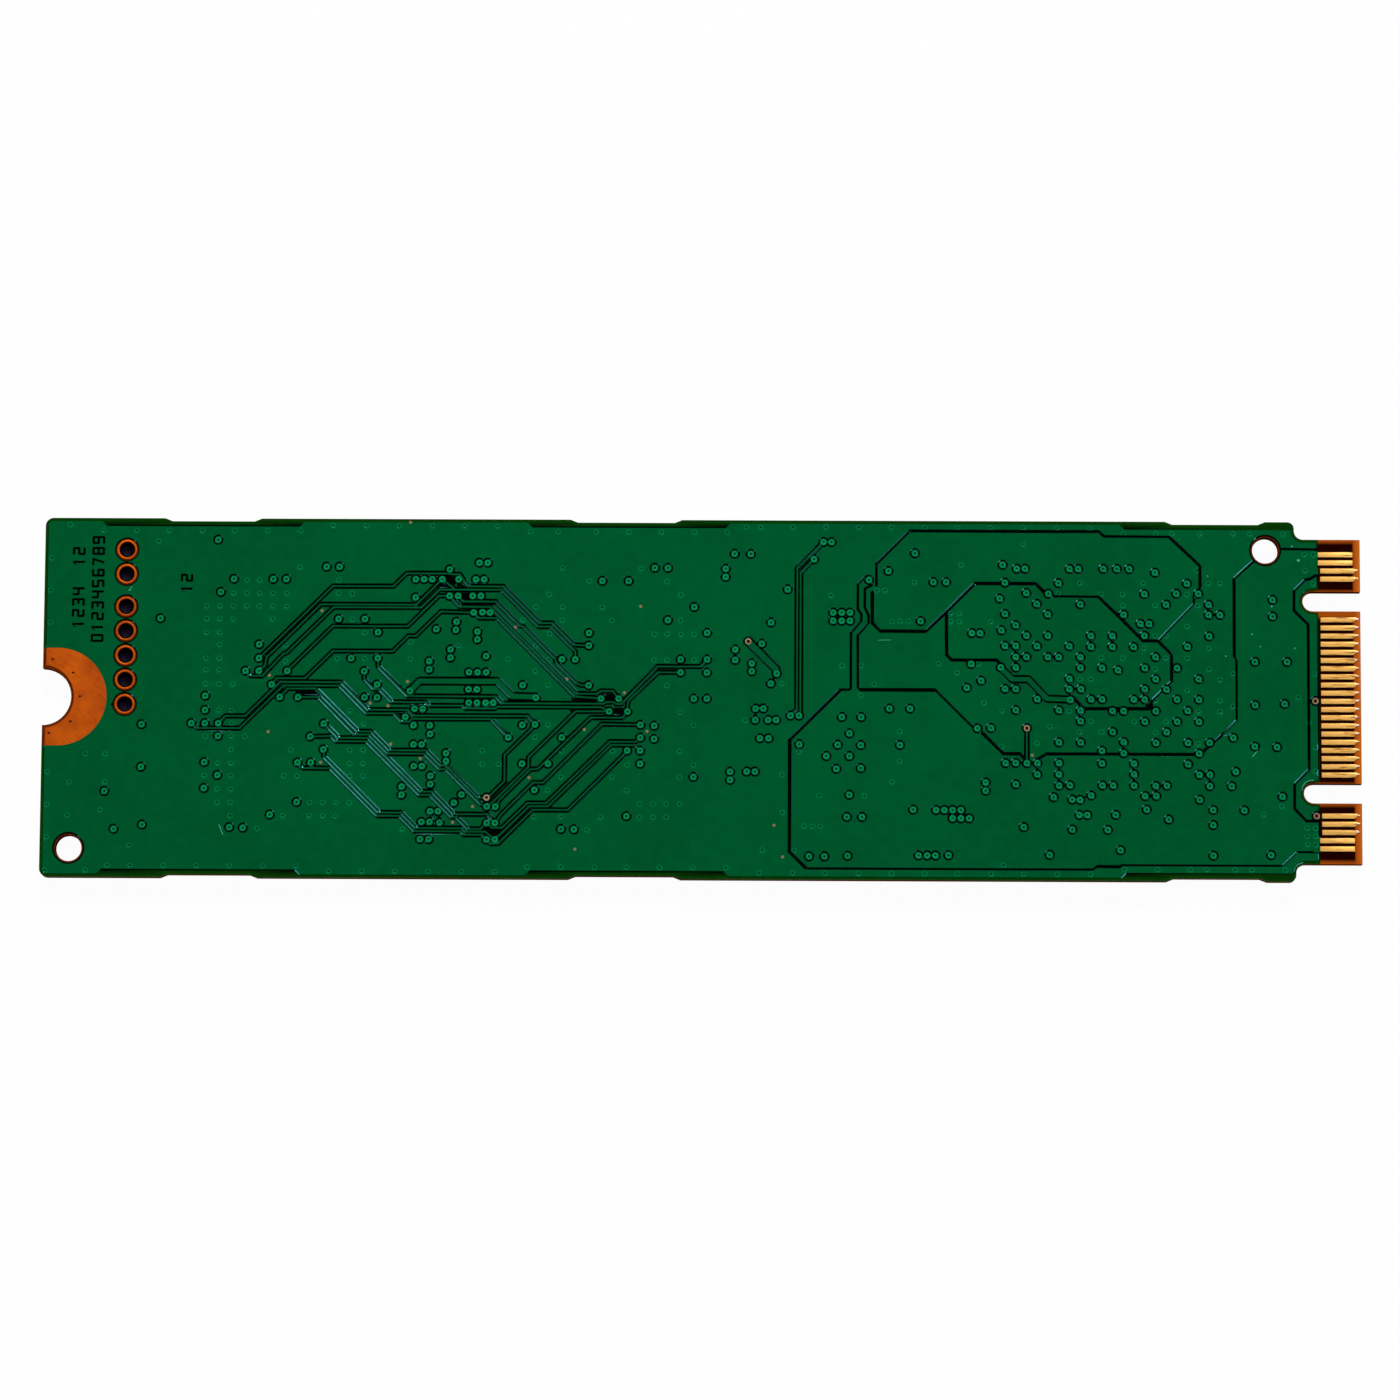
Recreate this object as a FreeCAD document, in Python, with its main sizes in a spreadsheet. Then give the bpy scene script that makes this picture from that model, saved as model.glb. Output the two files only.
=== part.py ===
"""Gumstick solid state drive: a bare card-edge circuit board with its chips on the underside.

The frame has +Z up, out of the bare rear face of the card. +X runs along the card to its
contacts. The origin is under the middle of the card, on the plane of the flash chips' tops,
which the card rests on. Lengths are in millimetres.
"""
import FreeCAD
import Part
import Sketcher
import math
import os
from types import SimpleNamespace

# Each row is the name of a size, its number or formula, and what it measures.
SIZES = [
    # The card
    ("board_length", "80", "length of the card, screw end to contact tip"),
    ("board_width", "22", "width of the card"),
    ("board_thickness", "0.8", "thickness of the card with both skins"),
    ("skin_thickness", "0.05", "copper and solder mask on one face"),
    ("corner_radius", "0.5", "corners of the screw end"),
    ("half_length", "=board_length / 2", "end of the card from its middle"),
    ("half_width", "=board_width / 2", "side of the card from its middle"),
    # Card-edge tongue and its keys
    ("tongue_length", "4", "tongue tip to shoulder"),
    ("tongue_margin", "0.49", "outermost contact to the side of the tongue"),
    ("shoulder_width", "1.075", "card side to the side of the tongue"),
    ("tongue_half", "=half_width - shoulder_width", "side of the tongue from its middle"),
    ("contact_steps", "18.5", "pitches from the tongue's middle to its outermost contact"),
    ("contact_share", "0.74", "share of the pitch that a contact fills"),
    ("contact_reach", "=tongue_half - tongue_margin", "outer side of the outermost contact"),
    ("contact_pitch", "=contact_reach / (contact_steps + contact_share / 2)", "spacing of contacts"),
    ("contact_width", "=contact_pitch * contact_share", "width of one contact"),
    ("tongue_root_radius", "0.55", "fillet between tongue and shoulder"),
    ("shoulder_radius", "0.4", "outer corner of each shoulder"),
    ("key_width", "1.2", "width of each key slot"),
    ("key_depth", "3.5", "tongue tip to the root of each key slot"),
    ("shoulder_x", "=half_length - tongue_length", "where the shoulders stand"),
    ("key_radius", "=key_width / 2", "round root of each key slot"),
    ("key_centre_x", "=half_length - key_depth + key_radius", "centre of the slots' round roots"),
    # Contacts, measured back from the tongue tip
    ("mask_setback", "2.55", "tip to the edge of the solder mask"),
    ("contact_root_gap", "0.1", "mask edge to the root of a signal contact"),
    ("contact_heel_setback", "0.47", "tip to the start of a contact's slanted corner"),
    ("contact_nose_setback", "0.28", "tip to the nose of a contact"),
    ("contact_stub_setback", "0.13", "tip to the end of the plating stub"),
    ("contact_stub_width", "0.1", "width of the plating stub"),
    ("ground_end_setback", "0.45", "tip to the end of a ground contact"),
    ("mask_edge_x", "=half_length - mask_setback", "edge of the solder mask"),
    # Screw end
    ("screw_notch_radius", "1.75", "half-round notch for the screw"),
    ("screw_land_radius", "3", "round end of the bare copper land"),
    ("screw_land_shift", "0.9", "card end to the centre of the land's round end"),
    ("screw_land_x", "=screw_land_shift - half_length", "centre of the land's round end"),
    # Holes
    ("tooling_radius", "0.85", "two tooling holes"),
    ("tooling_side_setback", "1.75", "card side to each tooling hole"),
    ("tooling_screw_setback", "1.75", "screw end to the first tooling hole"),
    ("tooling_tip_setback", "5.75", "contact tip to the second tooling hole"),
    ("plated_radius", "0.475", "inside of the plated holes"),
    ("plated_wall", "0.04", "copper wall of the plated holes"),
    ("plated_ring_radius", "0.64", "outside of the rings round the plated holes"),
    ("plated_end_setback", "5", "screw end to the row of plated holes"),
    ("plated_side_setback", "1.95", "card side to the first plated hole"),
    ("plated_pitch", "1.5", "spacing of the plated holes"),
    ("plated_break", "0.5", "extra space after the second plated hole"),
    # Break-off tab recesses along both sides
    ("recess_depth", "0.18", "depth of each tab recess"),
    ("recess_slope", "0.45", "length of a recess's sloped ends"),
    ("recess_screw_length", "5.9", "length of the recess near the screw end"),
    ("recess_middle_length", "6.8", "length of the middle recess"),
    ("recess_tip_length", "6.1", "length of the recess near the contacts"),
    ("recess_screw_setback", "10.25", "screw end to the first recess"),
    ("recess_middle_shift", "-4.6", "card middle to the second recess"),
    ("recess_tip_setback", "8.8", "contact tip to the third recess"),
    # Chips: moulded bodies on thin bases, seated on solder balls
    ("ball_height", "0.25", "gap that the solder balls fill"),
    ("ball_radius", "0.22", "radius of a solder ball"),
    ("base_thickness", "0.2", "thin base of a ball-mounted chip"),
    ("ball_edge", "1", "chip side to its row of balls"),
    ("flash_length", "18", "flash chip, across the card"),
    ("flash_width", "14", "flash chip, along the card"),
    ("flash_height", "1.2", "flash chip on its balls; the card rests on these"),
    ("flash_end_setback", "8.5", "screw end to the first flash chip"),
    ("flash_gap", "1.1", "space between the flash chips"),
    ("flash_ball_pitch", "1.8", "spacing of the flash balls across the card"),
    ("flash_ball_rows", "9", "flash balls along one side"),
    ("memory_length", "12", "memory chip, across the card"),
    ("memory_width", "8", "memory chip, along the card"),
    ("memory_height", "1", "memory chip on its balls"),
    ("memory_gap", "2.9", "second flash chip to the memory chip"),
    ("memory_ball_pitch", "0.95", "spacing of the memory balls across the card"),
    ("memory_ball_rows", "11", "memory balls along one side"),
    ("controller_side", "11", "side of the square controller chip"),
    ("controller_height", "1.1", "controller chip on its balls"),
    ("controller_y", "3.5", "controller chip off the card's middle line"),
    ("controller_gap", "9.5", "memory chip to the controller chip"),
    ("controller_ball_pitch", "1.3", "spacing of the balls in the controller's ring"),
    ("controller_ball_rows", "8", "balls along one side of the controller's ring"),
    ("front_z", "=flash_height", "outer face of the underside's solder mask"),
    ("core_z", "=front_z + skin_thickness", "underside of the laminate core"),
    ("core_thickness", "=board_thickness - 2 * skin_thickness", "laminate core"),
    ("rear_z", "=core_z + core_thickness", "upper side of the laminate core"),
    ("base_z", "=front_z - ball_height", "mounting side of a chip's base"),
    ("body_z", "=base_z - base_thickness", "mounting side of a chip's moulded body"),
    ("buried", "=ball_height + base_thickness", "height under a moulded body"),
    ("flash_1_x", "=flash_end_setback - half_length + flash_width / 2", "first flash chip"),
    ("flash_2_x", "=flash_1_x + flash_width + flash_gap", "second flash chip"),
    ("flash_right", "=flash_2_x + flash_width / 2", "inner side of the second flash chip"),
    ("memory_x", "=flash_right + memory_gap + memory_width / 2", "memory chip"),
    ("memory_right", "=memory_x + memory_width / 2", "far side of the memory chip"),
    ("controller_x", "=memory_right + controller_gap + controller_side / 2", "controller chip"),
    ("controller_right", "=controller_x + controller_side / 2", "far side of the controller"),
    # Leadless chips and the crystal, on thin solder lands
    ("land_thickness", "0.05", "soldered lands under a leadless package"),
    ("power_side", "5", "side of the square power chip"),
    ("power_height", "0.85", "power chip on its lands"),
    ("power_y", "-6.9", "power chip off the card's middle line"),
    ("power_land_pitch", "0.6", "lands of the power chip"),
    ("power_land_count", "7", "lands on one side of the power chip"),
    ("power_pad_side", "3.2", "thermal land under the power chip"),
    ("land_width", "0.26", "width of a land"),
    ("land_length", "0.5", "length of a land"),
    ("boot_length", "6", "boot memory chip, across the card"),
    ("boot_width", "5", "boot memory chip, along the card"),
    ("boot_height", "0.8", "boot memory chip on its lands"),
    ("boot_gap", "2.6", "memory chip to the boot chip"),
    ("boot_y", "-6", "boot memory chip off the card's middle line"),
    ("boot_land_pitch", "1.27", "lands of the boot memory chip"),
    ("boot_land_count", "4", "lands on one side of the boot memory chip"),
    ("crystal_length", "3.2", "clock crystal, across the card"),
    ("crystal_width", "2.5", "clock crystal, along the card"),
    ("crystal_base_height", "0.5", "ceramic base of the crystal"),
    ("crystal_lid_height", "0.25", "metal lid of the crystal"),
    ("crystal_lid_margin", "0.15", "rim of the base round the lid"),
    ("crystal_land_side", "0.9", "side of the crystal's corner lands"),
    ("crystal_y", "6", "crystal off the card's middle line"),
    ("boot_x", "=memory_right + boot_gap + boot_width / 2", "boot chip and crystal"),
    # Inductors, as tall as the flash chips
    ("inductor_length", "2.5", "inductor, across the card"),
    ("inductor_width", "2", "inductor, along the card"),
    ("inductor_terminal", "0.6", "length of an inductor's terminals"),
    ("inductor_gap", "2.2", "controller to the inductors"),
    ("inductor_y", "-8.2", "first inductor off the card's middle line"),
    ("inductor_pitch", "3.4", "spacing of the inductors"),
    ("inductor_count", "3", "inductors"),
    ("inductor_x", "=controller_right + inductor_gap + inductor_width / 2", "row of inductors"),
    ("inductor_height", "=flash_height - land_thickness", "inductor above its terminals"),
    # Two-ended parts
    ("large_length", "1.6", "large capacitor"),
    ("large_width", "0.8", "large capacitor"),
    ("large_height", "0.8", "large capacitor"),
    ("large_end", "0.35", "metal end of a large capacitor"),
    ("small_length", "1", "small capacitor"),
    ("small_width", "0.5", "small capacitor"),
    ("small_height", "0.5", "small capacitor"),
    ("small_end", "0.25", "metal end of a small capacitor"),
    ("resistor_length", "1", "resistor"),
    ("resistor_width", "0.5", "resistor"),
    ("resistor_height", "0.35", "resistor"),
    ("resistor_end", "0.2", "metal end of a resistor"),
    ("row_gap", "1.4", "chip side to the row of small parts beside it"),
    ("row_count", "7", "parts in a row across the card"),
    ("row_pitch", "2.2", "spacing of parts in a row across the card"),
    ("row_y", "=-row_pitch * (row_count - 1) / 2", "first part of a row across the card"),
    ("short_count", "4", "parts in a short row"),
    ("short_pitch", "2.4", "spacing of parts in a short row"),
    ("shelf_y", "-3.3", "short row between the controller and the power chip"),
]

DOC = FreeCAD.newDocument("gumstick_drive")
SHEET_NAME = "sizes"
MIDDLE_PIN = 38
RING_CORNERS = 6
EDGE_TOLERANCE = 0.01


class Term:
    """A length with its number and the expression that binds it to the sheet."""

    def __init__(self, text, value):
        self.text = text
        self.value = value

    def joined(self, sign, other, value):
        """The term that the sign makes of this term and another."""
        return Term(f"({self.text} {sign} {term(other).text})", value)

    def __add__(self, other):
        return self.joined("+", other, self.value + term(other).value)

    def __sub__(self, other):
        return self.joined("-", other, self.value - term(other).value)

    def __mul__(self, other):
        return self.joined("*", other, self.value * term(other).value)

    def __truediv__(self, other):
        return self.joined("/", other, self.value / term(other).value)

    def __neg__(self):
        return Term(f"(-{self.text})", -self.value)


def term(item):
    """A term as it is, or a plain number made into one."""
    if isinstance(item, Term):
        return item
    return Term(f"({item:.6f})", item)


def fill_sheet(rows):
    """Write the rows into a sheet and return its sizes as terms, by name."""
    sheet = DOC.addObject("Spreadsheet::Sheet", SHEET_NAME)
    for number, (alias, content, note) in enumerate(rows, start=1):
        sheet.set(f"A{number}", note)
        sheet.set(f"B{number}", content)
        sheet.setAlias(f"B{number}", alias)
    DOC.recompute()
    return SimpleNamespace(**{
        alias: Term(f"{SHEET_NAME}.{alias}", float(sheet.get(alias))) for alias, _, _ in rows
    })


size = fill_sheet(SIZES)
NODES = []


# Sketching and features

def new_body(label):
    """An empty body for one node."""
    body = DOC.addObject("PartDesign::Body", label)
    body.Label = label
    body.AllowCompound = True
    NODES.append(body)
    return body


def origin_part(body, role):
    """The plane or axis of the body's origin that has this role."""
    return next(part for part in body.Origin.OriginFeatures if part.Role == role)


def new_sketch(body, name, height):
    """A sketch on the body's XY plane, lifted to the given height."""
    sketch = body.newObject("Sketcher::SketchObject", f"{body.Name}_{name}")
    sketch.AttachmentSupport = [(origin_part(body, "XY_Plane"), "")]
    sketch.MapMode = "FlatFace"
    sketch.setExpression(".AttachmentOffset.Base.z", height.text)
    return sketch


def bind(sketch, constraint, size_term):
    """Add a dimension to the sketch and tie it to its term."""
    index = sketch.addConstraint(constraint)
    sketch.setExpression(f"Constraints[{index}]", size_term.text)


def pin(sketch, geometry, point, x, y):
    """Hold one point of the sketch at x and y from the sketch's origin."""
    for kind, axis, place in (("DistanceX", -2, term(x)), ("DistanceY", -1, term(y))):
        if place.value == 0:
            sketch.addConstraint(Sketcher.Constraint("PointOnObject", geometry, point, axis))
        else:
            bind(sketch, Sketcher.Constraint(kind, -1, 1, geometry, point, place.value), place)


def polygon(sketch, corners):
    """A closed loop of straight edges through the corners."""
    first = sketch.GeometryCount
    count = len(corners)
    points = [FreeCAD.Vector(term(x).value, term(y).value, 0) for x, y in corners]
    for here in range(count):
        sketch.addGeometry(Part.LineSegment(points[here], points[(here + 1) % count]))
    for here in range(count):
        after = first + (here + 1) % count
        sketch.addConstraint(Sketcher.Constraint("Coincident", first + here, 2, after, 1))
        pin(sketch, first + here, 1, *corners[here])


def rectangle(sketch, x, y, length_x, length_y):
    """A rectangle about a centre."""
    left = x - length_x / 2
    right = x + length_x / 2
    low = term(y) - length_y / 2
    high = term(y) + length_y / 2
    polygon(sketch, [(left, low), (right, low), (right, high), (left, high)])


def ball_outline(sketch, x, y):
    """A solder ball's outline with few sides."""
    corners = []
    for step in range(RING_CORNERS):
        turn = 2 * math.pi * (step + 0.5) / RING_CORNERS
        corners.append((x + size.ball_radius * math.cos(turn), y + size.ball_radius * math.sin(turn)))
    polygon(sketch, corners)


def circle(sketch, x, y, radius):
    """A circle about a centre."""
    centre = FreeCAD.Vector(term(x).value, term(y).value, 0)
    index = sketch.addGeometry(Part.Circle(centre, FreeCAD.Vector(0, 0, 1), radius.value))
    pin(sketch, index, 3, x, y)
    bind(sketch, Sketcher.Constraint("Radius", index, radius.value), radius)


def round_ended(sketch, open_x, centre_x, centre_y, radius):
    """A loop with one half-round end about its centre and straight sides that run to open_x."""
    faces_right = open_x.value > centre_x.value
    middle = FreeCAD.Vector(centre_x.value, term(centre_y).value, 0)
    rise = FreeCAD.Vector(0, radius.value, 0)
    reach = FreeCAD.Vector(open_x.value - centre_x.value, 0, 0)
    start = math.pi / 2 if faces_right else -math.pi / 2
    upper, lower = (1, 2) if faces_right else (2, 1)
    ring = Part.Circle(middle, FreeCAD.Vector(0, 0, 1), radius.value)
    top = sketch.addGeometry(Part.LineSegment(middle + rise + reach, middle + rise))
    arc = sketch.addGeometry(Part.ArcOfCircle(ring, start, start + math.pi))
    bottom = sketch.addGeometry(Part.LineSegment(middle - rise, middle - rise + reach))
    closing = sketch.addGeometry(Part.LineSegment(middle - rise + reach, middle + rise + reach))
    for rule in (
        Sketcher.Constraint("Coincident", top, 2, arc, upper),
        Sketcher.Constraint("Coincident", arc, lower, bottom, 1),
        Sketcher.Constraint("Coincident", bottom, 2, closing, 1),
        Sketcher.Constraint("Coincident", closing, 2, top, 1),
        Sketcher.Constraint("Vertical", arc, 3, arc, 1),
        Sketcher.Constraint("Vertical", arc, 3, arc, 2),
        Sketcher.Constraint("Horizontal", top),
        Sketcher.Constraint("Horizontal", bottom),
        Sketcher.Constraint("Vertical", closing),
    ):
        sketch.addConstraint(rule)
    pin(sketch, arc, 3, centre_x, centre_y)
    bind(sketch, Sketcher.Constraint("Radius", arc, radius.value), radius)
    bind(sketch, Sketcher.Constraint("DistanceX", -1, 1, closing, 1, open_x.value), open_x)


def extrude(body, kind, sketch, depth, upwards):
    """A pad or pocket of the sketch, to the given depth."""
    feature = body.newObject(f"PartDesign::{kind}", f"{sketch.Name}_{kind}")
    feature.Profile = sketch
    feature.setExpression("Length", depth.text)
    feature.Reversed = upwards if kind == "Pocket" else not upwards
    body.Tip = feature
    return feature


def cut(body, sketch, depth):
    """A pocket upwards from the sketch that has to take something away."""
    DOC.recompute()
    before = body.Shape.Volume
    extrude(body, "Pocket", sketch, depth, upwards=True)
    DOC.recompute()
    if body.Shape.Volume >= before:
        raise RuntimeError(f"{sketch.Name} cuts nothing")


def repeat(body, feature, axis, pitch, count):
    """Copies of a feature along one axis of the body."""
    pattern = body.newObject("PartDesign::LinearPattern", f"{feature.Name}_row")
    pattern.Originals = [feature]
    pattern.Direction = (origin_part(body, axis), [""])
    pattern.setExpression("Length", (pitch * (count - 1)).text)
    pattern.setExpression("Occurrences", count.text)
    body.Tip = pattern


def round_upright_edges(body, places, radius):
    """A fillet on the upright edges that stand at the given places."""
    DOC.recompute()
    base = body.Tip
    names = []
    for number, edge in enumerate(base.Shape.Edges, start=1):
        middle = edge.CenterOfMass
        for x, y in places:
            if math.hypot(middle.x - x.value, middle.y - y.value) < EDGE_TOLERANCE:
                names.append(f"Edge{number}")
    if len(names) != len(places):
        raise RuntimeError(f"{body.Label} lacks an edge to round")
    fillet = body.newObject("PartDesign::Fillet", f"{body.Name}_fillet")
    fillet.Base = (base, names)
    fillet.setExpression("Radius", radius.text)
    body.Tip = fillet


# Places on the card

def pin_y(number):
    """Where a numbered contact stands across the card; odd numbers are on the underside."""
    return size.contact_pitch * ((number - MIDDLE_PIN) / 2)


KEY_M_Y = pin_y(62.5)
KEY_B_Y = pin_y(15.5)
TOOLING_HOLES = [
    (size.tooling_screw_setback - size.half_length, size.tooling_side_setback - size.half_width),
    (size.half_length - size.tooling_tip_setback, size.half_width - size.tooling_side_setback),
]
RECESSES = [
    (size.recess_screw_setback - size.half_length, size.recess_screw_length),
    (size.recess_middle_shift, size.recess_middle_length),
    (size.half_length - size.recess_tip_setback, size.recess_tip_length),
]
PLATED_HOLES = 7
HOLES_BEFORE_BREAK = 2


def plated_places():
    """Centres of the row of plated holes, with the wider step after the second."""
    x = size.plated_end_setback - size.half_length
    top = size.half_width - size.plated_side_setback
    for number in range(PLATED_HOLES):
        y = top - size.plated_pitch * number
        if number >= HOLES_BEFORE_BREAK:
            y = y - size.plated_break
        yield x, y


# The card's layers

def card_layer(label, low, thickness, end_x):
    """One layer of the card: its outline, key slots, screw notch, recesses and tooling holes."""
    body = new_body(label)
    left = -size.half_length
    top = size.half_width

    blank = new_sketch(body, "blank", low)
    polygon(blank, [(left, -top), (end_x, -top), (end_x, top), (left, top)])
    extrude(body, "Pad", blank, thickness, upwards=True)

    shoulders = new_sketch(body, "shoulders", low)
    for side in (1, -1):
        inner = size.tongue_half * side
        outer = top * side
        polygon(shoulders, [
            (size.shoulder_x, inner),
            (size.half_length, inner),
            (size.half_length, outer),
            (size.shoulder_x, outer),
        ])
    cut(body, shoulders, thickness)

    roots = [(size.shoulder_x, size.tongue_half), (size.shoulder_x, -size.tongue_half)]
    round_upright_edges(body, roots, size.tongue_root_radius)
    corners = [(size.shoulder_x, top), (size.shoulder_x, -top)]
    round_upright_edges(body, corners, size.shoulder_radius)
    round_upright_edges(body, [(left, top), (left, -top)], size.corner_radius)

    keys = new_sketch(body, "keys", low)
    for key_y in (KEY_M_Y, KEY_B_Y):
        round_ended(keys, size.half_length, size.key_centre_x, key_y, size.key_radius)
    cut(body, keys, thickness)

    recesses = new_sketch(body, "recesses", low)
    for x, length in RECESSES:
        start = x - length / 2
        end = x + length / 2
        for side in (1, -1):
            edge = top * side
            floor = (top - size.recess_depth) * side
            polygon(recesses, [
                (start, edge),
                (start + size.recess_slope, floor),
                (end - size.recess_slope, floor),
                (end, edge),
            ])
    cut(body, recesses, thickness)

    tooling = new_sketch(body, "tooling", low)
    for x, y in TOOLING_HOLES:
        circle(tooling, x, y, size.tooling_radius)
    cut(body, tooling, thickness)
    return body


def cut_screw_notch(body, low, thickness):
    """The half-round notch in the card's end."""
    notch = new_sketch(body, "notch", low)
    circle(notch, -size.half_length, 0, size.screw_notch_radius)
    cut(body, notch, thickness)


def screw_land_outline(body, name, low):
    """The outline of the bare land round the screw notch."""
    land = new_sketch(body, name, low)
    round_ended(land, -size.half_length, size.screw_land_x, 0, size.screw_land_radius)
    return land


def make_circuit_board():
    """The laminate core, drilled for the plated holes."""
    body = card_layer("circuit_board", size.core_z, size.core_thickness, size.half_length)
    cut_screw_notch(body, size.core_z, size.core_thickness)
    drilled = new_sketch(body, "drilled", size.core_z)
    for x, y in plated_places():
        circle(drilled, x, y, size.plated_radius + size.plated_wall)
    cut(body, drilled, size.core_thickness)


def make_solder_masks():
    """The rear skin, open at the bare copper, and the front skin, which closes the plated holes."""
    rear = card_layer("rear_solder_mask", size.rear_z, size.skin_thickness, size.mask_edge_x)
    cut(rear, screw_land_outline(rear, "land", size.rear_z), size.skin_thickness)
    openings = new_sketch(rear, "openings", size.rear_z)
    for x, y in plated_places():
        circle(openings, x, y, size.plated_ring_radius)
    cut(rear, openings, size.skin_thickness)

    front = card_layer("front_solder_mask", size.front_z, size.skin_thickness, size.mask_edge_x)
    cut(front, screw_land_outline(front, "land", size.front_z), size.skin_thickness)


def make_screw_pad(label, low):
    """A bare copper land that frames the screw notch on one face."""
    body = new_body(label)
    extrude(body, "Pad", screw_land_outline(body, "land", low), size.skin_thickness, upwards=True)
    cut_screw_notch(body, low, size.skin_thickness)


def make_plated_holes():
    """Copper barrels through the core, each with a ring on the rear face."""
    body = new_body("plated_holes")
    barrels = new_sketch(body, "barrels", size.core_z)
    rings = new_sketch(body, "rings", size.rear_z)
    for x, y in plated_places():
        circle(barrels, x, y, size.plated_radius + size.plated_wall)
        circle(barrels, x, y, size.plated_radius)
        circle(rings, x, y, size.plated_ring_radius)
        circle(rings, x, y, size.plated_radius)
    extrude(body, "Pad", barrels, size.core_thickness, upwards=True)
    extrude(body, "Pad", rings, size.skin_thickness, upwards=True)


# Contacts

def signal_outline(sketch, y):
    """A contact with one slanted corner at its nose and a thin plating stub."""
    root = size.mask_edge_x + size.contact_root_gap
    heel = size.half_length - size.contact_heel_setback
    nose = size.half_length - size.contact_nose_setback
    stub = size.half_length - size.contact_stub_setback
    low = y - size.contact_width / 2
    high = y + size.contact_width / 2
    polygon(sketch, [
        (root, low),
        (heel, low),
        (nose, y),
        (stub, y),
        (stub, y + size.contact_stub_width),
        (nose, y + size.contact_stub_width),
        (nose, high),
        (root, high),
    ])


def ground_outline(sketch, y):
    """A plain contact that runs from the mask edge and has no stub."""
    end = size.half_length - size.ground_end_setback
    low = y - size.contact_width / 2
    high = y + size.contact_width / 2
    polygon(sketch, [(size.mask_edge_x, low), (end, low), (end, high), (size.mask_edge_x, high)])


def make_contacts(label, low, runs):
    """One group of contacts; each run is an outline, its lowest pin number and its count."""
    body = new_body(label)
    for outline, first_pin, count in runs:
        sketch = new_sketch(body, f"pin_{first_pin}", low)
        outline(sketch, pin_y(first_pin))
        feature = extrude(body, "Pad", sketch, size.skin_thickness, upwards=True)
        repeat(body, feature, "Y_Axis", size.contact_pitch, term(count))


def make_all_contacts():
    """Even pins on the rear face and odd pins on the front face, parted by the two keys."""
    rear = size.rear_z
    front = size.front_z
    make_contacts("rear_contacts_key_m", rear, [(signal_outline, 68, 2), (ground_outline, 72, 2)])
    make_contacts("rear_contacts_centre", rear, [(signal_outline, 20, 20)])
    make_contacts("rear_contacts_key_b", rear, [(ground_outline, 2, 2), (signal_outline, 6, 3)])
    make_contacts("front_contacts_key_m", front, [(signal_outline, 67, 3), (ground_outline, 73, 2)])
    make_contacts("front_contacts_centre", front, [(signal_outline, 21, 19)])
    make_contacts("front_contacts_key_b", front, [(ground_outline, 1, 2), (signal_outline, 5, 4)])


# Chips on the underside

def hang(label, x, y, length_x, length_y, top, depth):
    """A block that hangs down from the given height."""
    body = new_body(label)
    sketch = new_sketch(body, "outline", top)
    rectangle(sketch, x, y, length_x, length_y)
    extrude(body, "Pad", sketch, depth, upwards=False)
    return body


def make_ball_chip(label, x, y, length_x, length_y, height):
    """The moulded body and thin base of a ball-mounted chip."""
    hang(f"{label}_body", x, y, length_x, length_y, size.body_z, height - size.buried)
    hang(f"{label}_base", x, y, length_x, length_y, size.base_z, size.base_thickness)


def make_ball_columns(label, x, length_x, pitch, rows):
    """A column of solder balls along each long side of a chip."""
    body = new_body(f"{label}_balls")
    sketch = new_sketch(body, "balls", size.front_z)
    first_y = -(pitch * (rows - 1) / 2)
    outer = length_x / 2 - size.ball_edge
    for side in (1, -1):
        ball_outline(sketch, x + outer * side, first_y)
    feature = extrude(body, "Pad", sketch, size.ball_height, upwards=False)
    repeat(body, feature, "Y_Axis", pitch, rows)


def make_ball_ring(label, x, y, pitch, rows):
    """A square ring of solder balls."""
    body = new_body(f"{label}_balls")
    reach = pitch * (rows - 1) / 2
    upright = new_sketch(body, "upright", size.front_z)
    level = new_sketch(body, "level", size.front_z)
    for side in (1, -1):
        ball_outline(upright, x + reach * side, y - reach)
        ball_outline(level, x - reach + pitch, y + reach * side)
    columns = extrude(body, "Pad", upright, size.ball_height, upwards=False)
    repeat(body, columns, "Y_Axis", pitch, rows)
    lines = extrude(body, "Pad", level, size.ball_height, upwards=False)
    repeat(body, lines, "X_Axis", pitch, rows - 2)


def make_ball_mounted_chips():
    """Two flash chips, the working memory and the controller."""
    for label, x in (("flash_chip_1", size.flash_1_x), ("flash_chip_2", size.flash_2_x)):
        make_ball_chip(label, x, 0, size.flash_width, size.flash_length, size.flash_height)
        make_ball_columns(label, x, size.flash_width, size.flash_ball_pitch, size.flash_ball_rows)
    label, x = "memory_chip", size.memory_x
    make_ball_chip(label, x, 0, size.memory_width, size.memory_length, size.memory_height)
    make_ball_columns(label, x, size.memory_width, size.memory_ball_pitch, size.memory_ball_rows)
    label, x, y = "controller_chip", size.controller_x, size.controller_y
    make_ball_chip(label, x, y, size.controller_side, size.controller_side, size.controller_height)
    make_ball_ring(label, x, y, size.controller_ball_pitch, size.controller_ball_rows)


def land_row(body, name, x, y, length_x, length_y, axis, pitch, count):
    """A row of soldered lands."""
    sketch = new_sketch(body, name, size.front_z)
    rectangle(sketch, x, y, length_x, length_y)
    feature = extrude(body, "Pad", sketch, size.land_thickness, upwards=False)
    repeat(body, feature, axis, pitch, count)


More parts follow.
